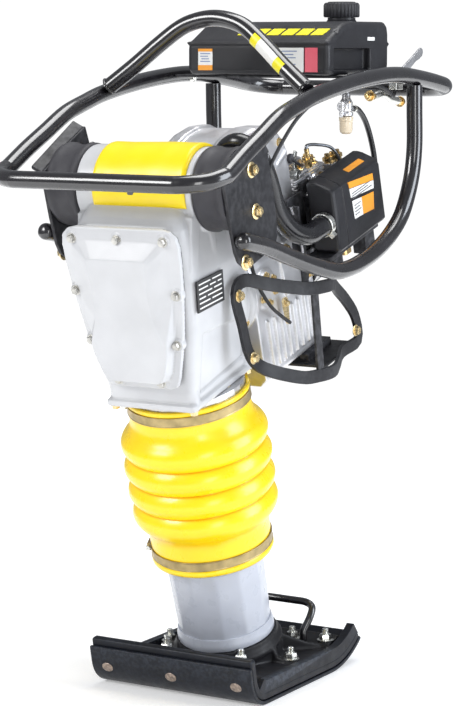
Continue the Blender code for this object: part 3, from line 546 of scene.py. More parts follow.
def make_shoe():
    width = FOOT_HALF_WIDTH
    sole = Shape().prism(shoe_line(0, TOE_LIP - 11) + shoe_line(6, TOE_LIP - 11)[::-1], -width, width, "x")
    piece("sole_plate", sole, SHOE_BLACK, SHOE_RIDE, ["shoe_sole"], bevel=1.6)
    board = Shape().prism(shoe_line(6.3) + shoe_line(20)[::-1], 0.6 - width, width - 0.6, "x")
    piece("shoe_deck", board, SHOE_BLACK, SHOE_RIDE, ["shoe_board"], bevel=4.0, segments=4)
    rail_line = shoe_line(14, lip=0, toe_from=44) + shoe_line(37, lip=0, toe_from=44)[::-1]
    for side, name in ((1, "shoe_rail_left"), (-1, "shoe_rail_right")):
        ends = sorted((side * (width - 1.0), side * (width - 14)))
        rail = Shape().prism(rail_line, ends[0], ends[1], "x")
        piece(name, rail, SHOE_BLACK, SHOE_RIDE, bevel=3.0, segments=3)
    heads = Shape()
    turn = math.radians(70)
    at = (FLAT_FRONT_Y - TOE_RADIUS * math.sin(turn), TOE_RADIUS - TOE_RADIUS * math.cos(turn))
    for x in (-114, 0, 114):
        place = facing((x, at[0] + 0.6, at[1]), (0, -math.sin(turn), -math.cos(turn)))
        place = place @ Matrix.Diagonal((1.35, 1.0, 1.0, 1.0))
        dome = [(0, -4), (7.6, -4), (7.6, 0), (6.9, 0.9), (4.6, 1.6), (0, 1.9)]
        heads.turned(dome, place, 36)
    piece("toe_bolt_heads", heads, RUSTY_STEEL, SHOE_RIDE)
    studs = Shape()
    bosses = [(67, -98, 44), (110, -20, 36), (108, 96, 40), (52, 88, 38)]
    for index, (x, y, top) in enumerate(bosses):
        for side in (1, -1):
            studs.bolt((side * x, y, top - 0.5), (0, 0, 1), across=17, height=8.5, stud=8.5,
                       spin=0.3 * index + side)
    piece("shoe_studs", studs, WHITE_ZINC, SHOE_RIDE)


def make_shoe_casting():
    """Black cast socket with its flange, bosses and curved ribs."""
    casting = Shape()
    lower = [(-116, 20.3)] + [(y, z) for y, z in shoe_line(20.3, lip=0) if y >= FLAT_REAR_Y and y < 122]
    upper = [(-116, 29.5)] + [(y, z) for y, z in shoe_line(29.5, lip=0) if y >= FLAT_REAR_Y and y < 118]
    casting.prism(lower + upper[::-1], -121, 121, "x")
    socket = [(0, 0), (80, 0), (83, 30), (83, 50), (86, 53), (86, 59), (80, 66), (79, 73.5), (0, 73.5)]
    raise_it = WORLD.inverted() @ LEG
    casting.turned(socket, raise_it, 64)
    for x, y in ((104, 84), (108, -30), (66, -96), (-104, 84), (-108, -30), (-66, -96), (52, 90),
                 (-52, 90)):
        reach = math.hypot(x, y + 22)
        turn = math.atan2(y + 22, x)
        rib = [(40, 26), (reach, 26), (reach, 36), (reach * 0.86, 40), (84, 58), (40, 60)]
        place = move(0, -22, 0) @ Matrix.Rotation(turn, 4, "Z")
        casting.prism(rib, -4.5, 4.5, "y", place)
    for x, y, top in ((67, -98, 44), (110, -20, 36), (108, 96, 40), (52, 88, 38)):
        foot = board_height(y) + 3
        for side in (1, -1):
            casting.turned([(0, foot), (13.5, foot), (12.5, top), (0, top)], move(side * x, y, 0), 28)
    low = 19.8
    under = [(-200, -60), (-200, low)] + [(y, z) for y, z in shoe_line(low, lip=0) if y >= FLAT_REAR_Y]
    under += [(200, 60), (200, -60)]
    below = Shape().prism(under, -200, 200, "x")
    made = cast("shoe_socket", casting, [below], voxel=2.0, soften=5, keep=0.5)
    put(made, SATIN_BLACK, SHOE_RIDE, ["shoe_casting"], smooth=60)


def make_bail():
    half = [(76, 82, 38), (76, 82, 46), (76, 83, 54), (81, 94, 74), (79, 104, 87), (66, 108.5, 93),
            (40, 110, 93.5)]
    path = smooth_path(half + mirrored(half)[::-1], 6)
    piece("tie_down_bar", Shape().tube(path, 6.0, 24), BLACK_PAINT, SHOE_RIDE, ["bail_bar"])


def make_leg():
    """Lower leg with shallow flats, a foot collar and a flared cuff."""
    def flats(angle):
        share = (angle % (math.pi / 6)) / (math.pi / 6) - 0.5
        return 1 - 0.75 * (1 - math.cos(math.pi / 12) / math.cos(share * math.pi / 6))

    tube = Shape(LEG).turned([(62, 92), (72.5, 92), (75.5, 204), (62, 204)], segments=144, squash=flats)
    piece("lower_leg", tube, LEG_GREY, SHOE_RIDE, ["leg_tube"], smooth=20)
    collar = [(64, 74.2), (75.5, 74.2), (76, 75), (76, 83), (75, 86), (74.2, 89.5), (73.2, 93), (64, 93)]
    cuff = [(64, 202), (75, 202), (77, 204), (81.5, 208), (87, 211.4), (88.4, 213), (88.5, 240), (82, 240),
            (82, 217), (64, 207)]
    ends = Shape(LEG).turned(collar, segments=96).turned(cuff, segments=96)
    piece("leg_collars", ends, LEG_GREY, SHOE_RIDE, smooth=40)


def make_band(name, low, high, body, node):
    """Steel band with rolled edges and a worm-drive housing at the back."""
    middle = 0.5 * (low + high)
    profile = [(92.4, low), (94.2, low), (94.9, low + 0.8), (94.2, low + 1.8), (94.2, high - 1.8),
               (94.9, high - 0.8), (94.2, high), (92.4, high)]
    band = Shape(LEG).turned(profile, segments=120)
    place = Matrix.Rotation(math.radians(200), 4, "Z")
    band.box((90.5, -15, middle - 6), (99, 15, middle + 6), place)
    piece(name, band, CLAMP_STEEL, body, [node], bevel=0.5)
    screw = Shape(LEG)
    spot = place @ Vector((97.5, -24, middle))
    end = place @ Vector((97.5, 20, middle))
    screw.bolt(tuple(end), tuple(spot - end), across=7, height=34, washer=False)
    piece(name + "_screw", screw, WHITE_ZINC, body)


BULGES = [(296.0, 112.2), (333.0, 113.2), (371.5, 113.7), (410.5, 112.6)]


def make_bellows():
    """Rubber boot: four round bulges, sharp grooves between them, and a lip past each band."""
    points = [(91.2, 212.4), (93.2, 212.9), (94.6, 215.6), (94.6, 219.6), (93.4, 222.4), (92.1, 223.2),
              (92.1, 238.0), (92.8, 241), (93.0, 252), (93.6, 260), (95.4, 268), (99.2, 274.0)]
    lows = [277.0] + [0.5 * (a[0] + b[0]) for a, b in zip(BULGES, BULGES[1:])] + [429.0]
    for (height, radius), low, high in zip(BULGES, lows, lows[1:]):
        groove = 103.2
        for step in range(19):
            share = -1 + 2 * step / 18
            level = height + share * ((high - height) if share > 0 else (height - low))
            swell = math.cos(0.5 * math.pi * share) ** 0.85 if abs(share) < 1 else 0.0
            points.append((groove + (radius - groove) * swell, level))
    points += [(99.6, 433.0), (95.4, 440.5), (93.2, 447), (92.6, 456), (92.1, 461.0), (92.1, 476.0),
               (94.0, 477.8), (94.4, 480.4), (93.4, 483.2), (91.2, 484)]
    inner = [(88.9, 484), (88.9, 446), (97, 428), (97, 272), (88.9, 254), (88.9, 212.4)]
    boot = linked("bellows_boot", Shape(LEG).turned(points + inner, segments=128).mesh("bellows_boot"))
    put(boot, YELLOW_RUBBER, None, ["bellows"], smooth=50)
    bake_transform(boot)


def make_springs():
    """Two compression springs, each cut into two coils at its still height."""
    for node, low, high, turns, still, ends in (("lower_spring", 98.5, 231.5, 5, 165.0, ("foot", "piston")),
                                                ("upper_spring", 250.5, 429.5, 6, 358.0,
                                                 ("piston", "foot"))):
        wire, radius = 4.8, 33.0
        bottom, top = low + wire + 0.2, high - wire - 0.2
        for part, first, last in (("_foot", bottom, still), ("_head", still, top)):
            count = max(2, round((last - first) / (top - bottom) * turns * 28))
            points = []
            for step in range(count + 1):
                height = first + (last - first) * step / count
                angle = 2 * math.pi * turns * (height - bottom) / (top - bottom)
                points.append((radius * math.cos(angle), radius * math.sin(angle), height))
            name = "coil_" + node + part
            coil = linked(name, Shape(LEG).tube(points, wire, 14).mesh(name))
            put(coil, DARK_STEEL, None, [node] if part == "_foot" else (), smooth=50)
            if part == "_foot":
                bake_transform(coil)
            else:
                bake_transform(coil)


# ---------------------------------------------------------------- crankcase
def cover_outline(grow):
    """Front view of the crankcase's cover: round shoulders, tapering to a narrow foot."""
    right = [(72, 779), (86, 776), (96, 767), (99, 752), (98, 728), (93, 680), (82, 612), (66, 552),
             (60, 538), (50, 533)]
    outline = [(x + grow, z + grow if z > 655 else z - grow) for x, z in right]
    return outline + [(-x, z) for x, z in outline[::-1]]


COVER_BOLTS = [(77.4, 763), (84.9, 682.5), (73, 606), (36.5, 545.8)]
COVER_PLACES = [(side * x, z) for x, z in COVER_BOLTS for side in (1, -1)] + [(0, 763)]


def make_crankcase():
    """Cast housing: drum on top, gussets under its ends, base flange and the engine's bell."""
    levels = [(494, 77, -104, 78, 7), (503, 77, -104, 78, 7), (505, 72, -98, 74, 9), (560, 80, -98, 75, 14),
              (620, 91, -98, 76, 20), (690, 98, -98, 76, 24), (728, 95, -98, 76, 24),
              (756, 94, -98, 75, 24), (768, 92, -96, 74, 24), (777, 88, -91, 71, 24),
              (784, 84, -83, 66, 22), (790, 80, -72, 60, 18), (797, 76, -58, 54, 14)]
    case = Shape(LEG)
    case.rings([[(x, y, z) for x, y in rounded_box(half, low, high, corner)]
                for z, half, low, high, corner in levels])
    across = axis_at("x", 0, 0, DRUM_Z)
    case.turned([(0, -98.4), (58.5, -98.4), (60, -97), (60, 97), (58.5, 98.4), (0, 98.4)], across, 96)
    engine = axis_at("y", 0, 0, SHAFT_Z)
    case.turned([(0, 40), (72, 40), (72, 98), (76, 100), (76, 112), (0, 112)], engine, 80)
    for side in (1, -1):
        out, root = side * 97.6, side * 70
        for top, bottom in (((-64, -36), (-84, -66)), ((-22, 2), (-18, -12)), ((20, 46), (26, 34))):
            verts = []
            for (low, high), z, x in ((top, 782, out), (bottom, 706, side * 96.5)):
                verts += [(root, low, z), (x, low, z), (x, high, z), (root, high, z)]
            case.skin(verts, sleeve())
        for y, z in ((-86, 514), (60, 514)):
            case.turned([(0, 494), (11, 494), (9, 520), (0, 520)], move(side * 66, y, 0), 24)
    cuts = []
    cavity = Shape(LEG).prism(cover_outline(-16), -140, 44, "y")
    bores = Shape(LEG).turned(rectangle(0, 480, 50, 560), None, 48)
    cuts += [cavity, bores]
    crank = axis_at("y", 0, 0, in_leg(*joint_place("crank_spin"))[2])
    cuts.append(Shape(LEG).turned(rectangle(0, 40, 36.5, 66), crank, 48))
    cuts.append(Shape(LEG).turned([(0, 30), (14, 30), (14, 81), (66, 81), (66, 140), (0, 140)], engine, 48))
    for side in (1, -1):
        panel = [(-66, 606), (40, 588), (52, 560), (52, 520), (-76, 514)]
        pocket = Shape(LEG)
        far = side * 130
        verts = []
        for y, z in panel:
            wall = 72 + (z - 505) * 8 / 55 if z < 560 else 80 + (z - 560) * 11 / 60
            verts += [(side * (wall - 3.2), y, z)]
        verts += [(far, y, z) for y, z in panel]
        count = len(panel)
        cuts.append(pocket.skin(verts, sleeve(count)))
    made = cast("crankcase_casting", case, cuts, voxel=1.7, soften=5, keep=0.4)
    put(made, CAST_GREY, "housing", ["crankcase"], smooth=60)

    base = [(side * 68, y, 494) for side in (1, -1) for y in (-92, 0, 66)]
    bolt_set("base_bolts", YELLOW_ZINC, "housing", base, (0, 0, -1), across=11, height=6)
    bell = shaft_circle(69, 99.0, (35, 90, 145, 215, 325))
    bolt_set("bell_bolts", YELLOW_ZINC, "housing", bell, (0, -1, 0), across=10, height=6)


def side_plate_at(y, z, lift):
    """A place on the crankcase's left wall, lifted off it."""
    return (94.5 + (z - 655) * 0.10 + lift, y, z)


def make_data_plate():
    """Black identification plate with plain bars in place of its text."""
    corners = [(-84, 692), (-10, 684), (-10, 636), (-84, 644)]
    plate = Shape(LEG)
    verts = [side_plate_at(y, z, 1.6) for y, z in corners] + [side_plate_at(y, z, 4.2) for y, z in corners]
    plate.skin(verts, sleeve())
    piece("data_plate", plate, LABEL_BLACK, "housing", bevel=0.4)

    def on_plate(u, v):
        y = -84 + 74 * u
        return y, 692 - 8 * u - 48 * v

    bars = Shape(LEG)
    for u0, u1, v in ((0.06, 0.50, 0.12), (0.58, 0.92, 0.12), (0.06, 0.40, 0.27), (0.48, 0.70, 0.27),
                      (0.78, 0.92, 0.27), (0.06, 0.55, 0.42), (0.63, 0.92, 0.42), (0.06, 0.30, 0.57),
                      (0.38, 0.92, 0.57), (0.06, 0.46, 0.72), (0.54, 0.92, 0.72), (0.06, 0.92, 0.88)):
        verts = []
        for lift in (4.0, 4.5):
            for u, w in ((u0, v - 0.022), (u1, v - 0.022), (u1, v + 0.022), (u0, v + 0.022)):
                verts.append(side_plate_at(*on_plate(u, w), lift))
        bars.skin(verts, sleeve())
    piece("data_plate_bars", bars, LABEL_WHITE, "housing")


def make_front_cover():
    """Bolted pan: flat rim with a boss at each bolt, sloping wings and a flat shield."""
    rim = cover_outline(0)
    inside = cover_outline(-9)
    right = [(40, 737), (49, 736), (50, 730), (46, 684), (50, 646), (64, 606), (62, 590), (54, 565),
             (47, 552), (40, 549)]
    wing_right = [(54, 762), (70, 760), (79, 752), (82, 738), (80, 680), (71, 614), (66, 592), (58, 562),
                  (50, 549), (40, 546)]
    shield = right + [(-x, z) for x, z in right[::-1]]
    wing = wing_right + [(-x, z) for x, z in wing_right[::-1]]
    cover = Shape(LEG)
    levels = [(rim, -104.3), (rim, -112), (inside, -114.5), (wing, -116.5), (shield, -130.8)]
    cover.rings([[(x, y, z) for x, z in outline] for outline, y in levels])
    for x, z in COVER_PLACES:
        place = facing((x, -104.3, z), (0, -1, 0))
        cover.turned([(0, 1), (10.5, 1), (9.6, 11.5), (0, 11.5)], place, 32)
    hollow = Shape(LEG)
    inner = [cover_outline(-24), [(x * 0.8, 655 + (z - 655) * 0.8) for x, z in shield]]
    hollow.rings([[(x, y, z) for x, z in outline] for outline, y in zip(inner, (-96, -125))])
    made = cast("front_cover_casting", cover, [hollow], voxel=1.3, soften=4, keep=0.4)
    put(made, CAST_GREY, "housing", ["front_cover"], smooth=60)
    bolts = Shape(LEG)
    for index, (x, z) in enumerate(COVER_PLACES):
        bolts.bolt((x, -115.6, z), (0, -1, 0), across=10, height=5, spin=0.25 * index)
    piece("cover_bolts", bolts, DULL_ZINC, "housing")
    gasket = Shape(LEG).prism(cover_outline(-0.8), -104.4, -103.4, "y")
    piece("cover_gasket", gasket, LABEL_BLACK, "housing")


def make_drum_cover():
    """Yellow moulded saddle with a padded top that swells unevenly, and a turned-down edge."""
    start, stop = -99, 45
    count, rows = 60, 60
    low_x, high_x = -68.0, 89.0
    outer = []
    for row in range(rows + 1):
        x = low_x + (high_x - low_x) * row / rows
        edge = min(row, rows - row) / rows * (high_x - low_x)
        ring = []
        for step in range(count + 1):
            degrees = start + (stop - start) * step / count
            rim = min(degrees - start, stop - degrees) / 360 * 2 * math.pi * 62
            fade = min(1.0, edge / 4.0) * min(1.0, rim / 4.0)
            along = (x - low_x) / (high_x - low_x)
            pad = 1 / (1 + math.exp(-(along - 0.45) * 22))
            crest = math.exp(-((degrees + 12) / 40) ** 2)
            wave = 0.55 * math.sin(along * 19 + 1.0) * crest
            swell = 0.9 + (2.2 * pad + wave + 0.5) * crest
            radius = 61.6 + (1.6 + max(0.0, swell)) * math.sqrt(fade)
            angle = math.radians(degrees)
            ring.append((x, radius * math.sin(angle), DRUM_Z + radius * math.cos(angle)))
        for step in range(count, -1, -1):
            angle = math.radians(start + (stop - start) * step / count)
            ring.append((x, 60.5 * math.sin(angle), DRUM_Z + 60.5 * math.cos(angle)))
        outer.append(ring)
    piece("drum_saddle", Shape(LEG).rings(outer), YELLOW_PLASTIC, "housing",
          ["drum_cover"], smooth=60)


def make_mounts():
    """Rubber buffers between the drum's ends and the handle's side plates."""
    for side, name, node in ((1, "buffer_left", "rubber_mount_left"),
                             (-1, "buffer_right", "rubber_mount_right")):
        profile = [(0, 99.0), (58, 99.0), (61, 100.5), (61.6, 103), (61.6, 108), (59.6, 111), (58.4, 118),
                   (58.4, 132), (59.6, 138), (61.6, 141), (61.6, 146), (60.5, 149.4), (0, 149.4)]
        place = move(0, 0, DRUM_Z) @ Matrix.Rotation(side * math.pi / 2, 4, "Y")
        buffer = linked(name, Shape(LEG).turned(profile, place, 96).mesh(name))
        put(buffer, GREY_RUBBER, None, [node], smooth=50)
        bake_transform(buffer)


# ---------------------------------------------------------------- handle
HANDLE_SIDE = [(-392, 786), (-368, 790), (-334, 800), (-288, 825), (-241, 848), (-190, 873), (-141, 888),
               (-82, 903), (22, 919), (120, 928), (188, 929), (240, 925), (294, 919), (349, 911),
               (392, 904)]
TUBE = 12.6


def handle_height(y):
    ys = [point[0] for point in HANDLE_SIDE]
    zs = [point[1] for point in HANDLE_SIDE]
    return float(np.interp(y, ys, zs))


def bead(shape, at, direction, radius=11.4, thick=1.6, waves=22, sides=64):
    """A rippled weld round a tube's end."""
    place = facing(at, direction)
    ring = []
    for step in range(sides):
        angle = 2 * math.pi * step / sides
        reach = radius + 0.4 * math.sin(waves * angle)
        ring.append(place @ Vector((reach * math.cos(angle), reach * math.sin(angle), 0)))
    shape.tube(ring, thick, 10, closed=True)


def make_handle():
    half, corner, end = 185.0, 58.0, 391.8
    quarter = []
    for step in range(9):
        angle = math.radians(90 * step / 8)
        quarter.append((half - corner + corner * math.sin(angle), corner - end - corner * math.cos(angle)))
    sides = [y for y, _ in HANDLE_SIDE if corner - end < y < end - corner]
    plan = [(0, -end), (64, -end)] + quarter + [(half, y) for y in sides]
    plan += [(x, -y) for x, y in quarter[::-1]] + [(64, end), (0, end)]
    plan += [(-x, y) for x, y in plan[-2:0:-1]]
    points = smooth_path([(x, y, handle_height(y)) for x, y in plan], 5, closed=True)
    piece("handle_tube", Shape().tube(points, TUBE, 36, closed=True), BLACK_PAINT, "handle",
          ["handle_loop"])
    half_arch = [(173.5, -91, 910.8), (131, -83, 943), (92, -75, 975), (58, -68.5, 1000), (30, -66, 1011),
                 (0, -65, 1015)]
    arch = smooth_path(half_arch + mirrored(half_arch)[-2::-1], 8)
    piece("lifting_hoop", Shape().tube(arch, TUBE, 36), BLACK_PAINT, "handle",
          ["lifting_arch"])
    for name, side, node in (("side_hoop_left", 1, "side_loop_left"),
                             ("side_hoop_right", -1, "side_loop_right")):
        route = [(185, 238, 912.5), (185, 238.5, 890), (185, 239, 870), (185, 240, 815), (185, 229, 765),
                 (185, 200, 715), (185, 160, 684), (185, 110, 661), (185, 55, 646), (185, 10, 640),
                 (183, -26, 641), (177, -78, 653), (171, -140, 671), (169.4, -205, 690), (169.4, -266, 702)]
        path = smooth_path([(side * x, y, z) for x, y, z in route], 6)
        piece(name, Shape().tube(path, TUBE, 36, dome=9), BLACK_PAINT, "handle", [node])
    welds = Shape()
    for side in (1, -1):
        bead(welds, (side * 171.5, -90.8, 913), (side * 0.79, -0.15, -0.61), radius=12.6)
        bead(welds, (side * 185, 238, 911.0), (0, 0, 1), radius=10.8)
    rail = [(side * 157.5, y, 691 + (y + 205) * -0.14) for side, y in ((1, -262), (1, -230), (1, -200))]
    welds.tube(smooth_path(rail, 6), 2.4, 10)
    welds.tube(smooth_path([(-x, y, z) for x, y, z in rail], 6), 2.4, 10)
    piece("frame_welds", welds, BLACK_PAINT, "handle")
    cross = Shape().tube([(x, -172.7, 817.8) for x in (-149.5, -148, -75, 0, 75, 148, 149.5)], 11, 32)
    for side in (1, -1):
        bead(cross, (side * 148.4, -172.7, 817.8), (1, 0, 0), radius=11.8, thick=1.8)
    piece("cross_bar", cross, BLACK_PAINT, "handle", ["cross_tube"])
    stop = Shape().turned([(0, -3), (3.4, -3), (4.4, -1.5), (4.4, 5), (0, 5)], move(60, -388, 773), 24)
    piece("handle_stop", stop, BLACK_PAINT, "handle")


def make_arch_sticker():
    """White sleeve with yellow ends, round the upper front of the hoop's left leg."""
    path = smooth_path([(58, -68.5, 1000), (92, -75, 975), (131, -83, 943), (171.4, -90.2, 912.3)], 12)
    for name, look, low, high in (("hoop_sleeve", LABEL_WHITE, 11, 21),
                                  ("hoop_sleeve_top", LABEL_YELLOW, 7, 11),
                                  ("hoop_sleeve_foot", LABEL_YELLOW, 21, 25)):
        run = path[low:high + 1]
        shape = Shape()
        rings = []
        for index, spot in enumerate(run):
            along = Vector(run[min(index + 1, len(run) - 1)] - run[max(index - 1, 0)]).normalized()
            across = (Vector((0, -1, 0)) - along * along.dot(Vector((0, -1, 0)))).normalized()
            side = along.cross(across)
            outer = []
            inner = []
            for step in range(17):
                angle = math.radians(-62 + 100 * step / 16)
                ray = math.cos(angle) * across - math.sin(angle) * side
                outer.append(Vector(spot) + ray * (TUBE + 0.35))
                inner.append(Vector(spot) + ray * (TUBE - 0.2))
            rings.append(outer + inner[::-1])
        shape.rings(rings)
        piece(name, shape, look, "handle", smooth=50)


PLATE_OUTLINE = [(-58, 840), (-57, 770), (-54, 728), (-48, 710), (-38, 700), (-22, 694), (20, 696),
                 (50, 699), (60, 704), (66, 712), (72, 770), (70, 840), (66, 871), (4, 858)]


def make_side_plates():
    for name, side, node in (("side_cheek_left", 1, "side_plate_left"),
                             ("side_cheek_right", -1, "side_plate_right")):
        low, high = sorted((side * 150, side * 156))
        plate = Shape(LEG).prism(PLATE_OUTLINE, low, high, "x")
        verts = []
        for y, z in ((-56, 838), (66, 869)):
            for x, rise in ((151, -6), (172, 6), (171, 11), (151, 0)):
                verts.append((side * x, y, z + rise))
        plate.skin(verts, sleeve())
        piece(name, plate, SATIN_BLACK, "handle", [node], bevel=1.6)
        bolts = Shape(LEG)
        for index, (y, z) in enumerate(((18, 827), (14, 766), (-33, 706))):
            bolts.bolt((side * 156, y, z), (side, 0, 0), across=15, height=6.5, spin=0.4 * index, stud=2.5)
        piece(name + "_bolts", bolts, YELLOW_ZINC, "handle")


# ---------------------------------------------------------------- fuel tank
TANK_LOW, TANK_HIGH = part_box("fuel_tank")


def tank_outline(inset=0.0):
    """Side view of the tank, front face first: sloped shoulder, flat top, upright back."""
    profile = [(61, 936), (66, 930), (74, 929), (250, 929), (260, 931), (265, 938), (265, 996), (262, 1006),
               (254, 1011.5), (140, 1011.5), (124, 1009.5), (110, 1005), (70, 984), (63, 979), (61, 973)]
    centre = (163, 968)
    made = []
    for y, z in profile:
        made.append((y + inset * (1 if y < centre[0] else -1), z + inset * (1 if z < centre[1] else -1)))
    return made


def make_tank():
    """Blow-moulded tank: parting seam, step under the shoulder, deep recess on its left."""
    half = TANK_HIGH.x / MM
    tank = Shape()
    levels = [(-half, 6), (-half + 2.5, 2), (-half + 7, 0), (half - 7, 0), (half - 2.5, 2), (half, 6)]
    tank.rings([[(x, y, z) for y, z in tank_outline(inset)] for x, inset in levels])
    seam = [(y, z) for y, z in ((60.2, 976.5), (60.2, 980.5), (266, 978.5), (266, 974.5))]
    tank.prism(seam, -half, half, "x")
    cuts = [Shape().box((half - 13, 80, 937), (half + 20, 200, 970)),
            Shape().prism([(94, 990), (94, 1020), (190, 1020), (190, 1013), (120, 1013), (104, 1004)],
                          half - 9, half + 20, "x")]
    made = cast("tank_shell", tank, cuts, voxel=1.8, soften=4, keep=0.4)
    put(made, BLACK_PLASTIC, "handle", ["fuel_tank"], smooth=60)
    x, y, _ = joint_place("cap_turn")
    neck = Shape().turned([(18, 1008), (23.5, 1008), (23.5, 1013), (22, 1014.5), (22, 1018), (18, 1018)],
                          move(x, y, 0), 64)
    piece("filler_collar", neck, BLACK_PLASTIC, "handle")
    cap = Shape()
    ribs = 30

    def grip(angle):
        return 1 + 0.022 * min(1.0, max(-1.0, 2.2 * math.cos(ribs * angle)))

    cap.turned([(0, 1018.4), (26.5, 1018.4), (28, 1020), (28, 1037), (26.8, 1040), (24.5, 1041.4),
                (0, 1041.6)], move(x, y, 0), 240, squash=grip)
    cap.turned([(21, 1041), (22, 1042.4), (20, 1042.8), (17, 1042.3), (17, 1041)], move(x, y, 0), 64)
    cap.turned([(0, 1041), (4, 1041), (3.4, 1042.6), (0, 1042.8)], move(x, y, 0), 24)
    piece("filler_cap", cap, BLACK_PLASTIC, "fuel_cap", ["fuel_cap"], smooth=45)
    cradle = Shape()
    for side in (1, -1):
        plan = [(60, 70), (124, 88), (171.5, 98), (171.5, 126), (124, 136), (60, 150)]
        cradle.prism([(side * a, b) for a, b in plan], 924.6, 928.5)
    cradle.box((-62, 72, 924.6), (62, 148, 928.5))
    piece("tank_tray", cradle, SATIN_BLACK, "handle", ["tank_cradle"], bevel=0.8)
    under = [(side * 146, 112, 924.6) for side in (1, -1)]
    bolt_set("tank_bolts", WHITE_ZINC, "handle", under, (0, 0, -1), WORLD, across=10, height=5)


def make_tank_labels():
    """Plain blocks of colour where the real tank has printed labels."""
    front = TANK_LOW.y / MM
    for name, look, x0, x1, z0, z1 in (("label_a", LABEL_WHITE, -105, -79, 936, 969),
                                       ("label_a_top", LABEL_ORANGE, -105, -79, 965, 969.4),
                                       ("label_a_foot", LABEL_ORANGE, -105, -79, 936, 944),
                                       ("label_b", LABEL_WHITE, 36, 86, 934, 971),
                                       ("label_b_pink", LABEL_PINK, 84, 108, 934, 971)):
        out = 0.9 if name in ("label_a_top", "label_a_foot") else 0.5
        strip = Shape().box((x0, front - out, z0), (x1, front + 1.5, z1))
        piece(name, strip, look, "handle")
    bars = Shape()
    for z, x0, x1 in ((961, -101, -83), (957, -101, -87), (953, -99, -85), (949, -101, -83), (965, 40, 72),
                      (960, 40, 66), (955, 40, 70), (950, 40, 60), (945, 40, 70), (940, 40, 64)):
        bars.box((x0, front - 0.8, z), (x1, front + 0.5, z + 1.4))
    piece("label_bars", bars, finish("label ink", (0.18, 0.25, 0.45), 0.4), "handle")
    slope = Shape()
    low, high = Vector((0, 76.5, 987.5)), Vector((0, 104, 1002.2))
    normal = Vector((0, -(high.z - low.z), high.y - low.y)).normalized()
    for index in range(6):
        start = -46 + index * 26
        verts = []
        for lift in (-1.0, 0.7):
            for x, share in ((start, 0.18), (start + 21, 0.18), (start + 25, 0.82), (start + 4, 0.82)):
                verts.append(Vector((x, 0, 0)) + low.lerp(high, share) + normal * lift)
        slope.skin(verts, sleeve())
    piece("shoulder_stripes", slope, LABEL_YELLOW, "handle")
    tag = Shape().box((TANK_HIGH.x / MM - 2, 190, 982), (TANK_HIGH.x / MM + 0.5, 214, 987.5))
    piece("label_c", tag, LABEL_WHITE, "handle")


# ---------------------------------------------------------------- fuel line and throttle
def make_fuel_line():
    x, y, _ = joint_place("cock_turn")
    here = move(x, y, 0)
    cock = Shape()
    cock.turned([(0, 864.4), (9, 864.4), (11, 866), (11, 871), (9.6, 873), (10.4, 878), (10.4, 886),
                 (8.5, 890), (6.6, 893), (6.6, 898), (5, 900), (5, 906), (7.5, 906), (7.5, 912), (5, 912),
                 (5, 928.4), (0, 928.4)], here, 36)
    cock.turned(rectangle(0, -11, 5, 5), axis_at("y", x, y, 880), 24)
    spout = [(0, 8), (5, 8), (5, 11), (3.4, 12), (4.2, 15), (3.4, 16), (4.2, 19), (3.2, 20), (0, 20)]
    cock.turned(spout, axis_at("y", x, y, 877), 24)
    piece("cock_body", cock, BRIGHT_ALUMINIUM, "handle", ["fuel_cock"], smooth=40)
    bowl = [(0, 837.4), (6, 837.4), (9.2, 840), (10.2, 845), (10.4, 857), (11.2, 858), (11.2, 864),
            (0, 864)]
    piece("filter_cup", Shape().turned(bowl, here, 40), CREAM_BOWL, "handle", ["filter_bowl"])
    knob = Shape()
    axle = axis_at("y", x, y, 880)
    knob.turned([(0, -15), (8, -15), (9, -14), (9, -12.4), (8.4, -11.6), (0, -11.6)], axle, 36)
    knob.prism([(x - 3, 870), (x - 2.4, 863.6), (x + 2.4, 863.6), (x + 3, 870), (x + 3, 888), (x - 3, 888)],
               y - 17, y - 14, "y")
    piece("cock_knob", knob, BRIGHT_ALUMINIUM, "fuel_cock_lever", ["fuel_cock_lever"],
          bevel=0.6)

    route = [(x, y + 17, 877), (x, y + 20.4, 877), (x, y + 40, 874), (x - 2, y + 68, 856),
             (x - 4, y + 92, 826), (x - 4, y + 106, 790), (x - 5, y + 108, 756), (x - 10, y + 108, 722)]
    ends = ((82, 446, 612), (78, 428, 577), (78, 414, 577), (78, 397, 577))
    route += [tuple(leg_point(*spot) / MM) for spot in ends]
    hose = linked("fuel_pipe", Shape().tube(smooth_path(route, 7), 4.5, 20).mesh("fuel_pipe"))
    put(hose, HOSE_RUBBER, None, ["fuel_hose"])
    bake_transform(hose)
    clip = Shape().turned(rectangle(4.5, -2, 5.6, 2), facing((x, y + 26, 876.6), (0, 1, -0.1)), 24)
    piece("fuel_clip", clip, WHITE_ZINC, "handle")


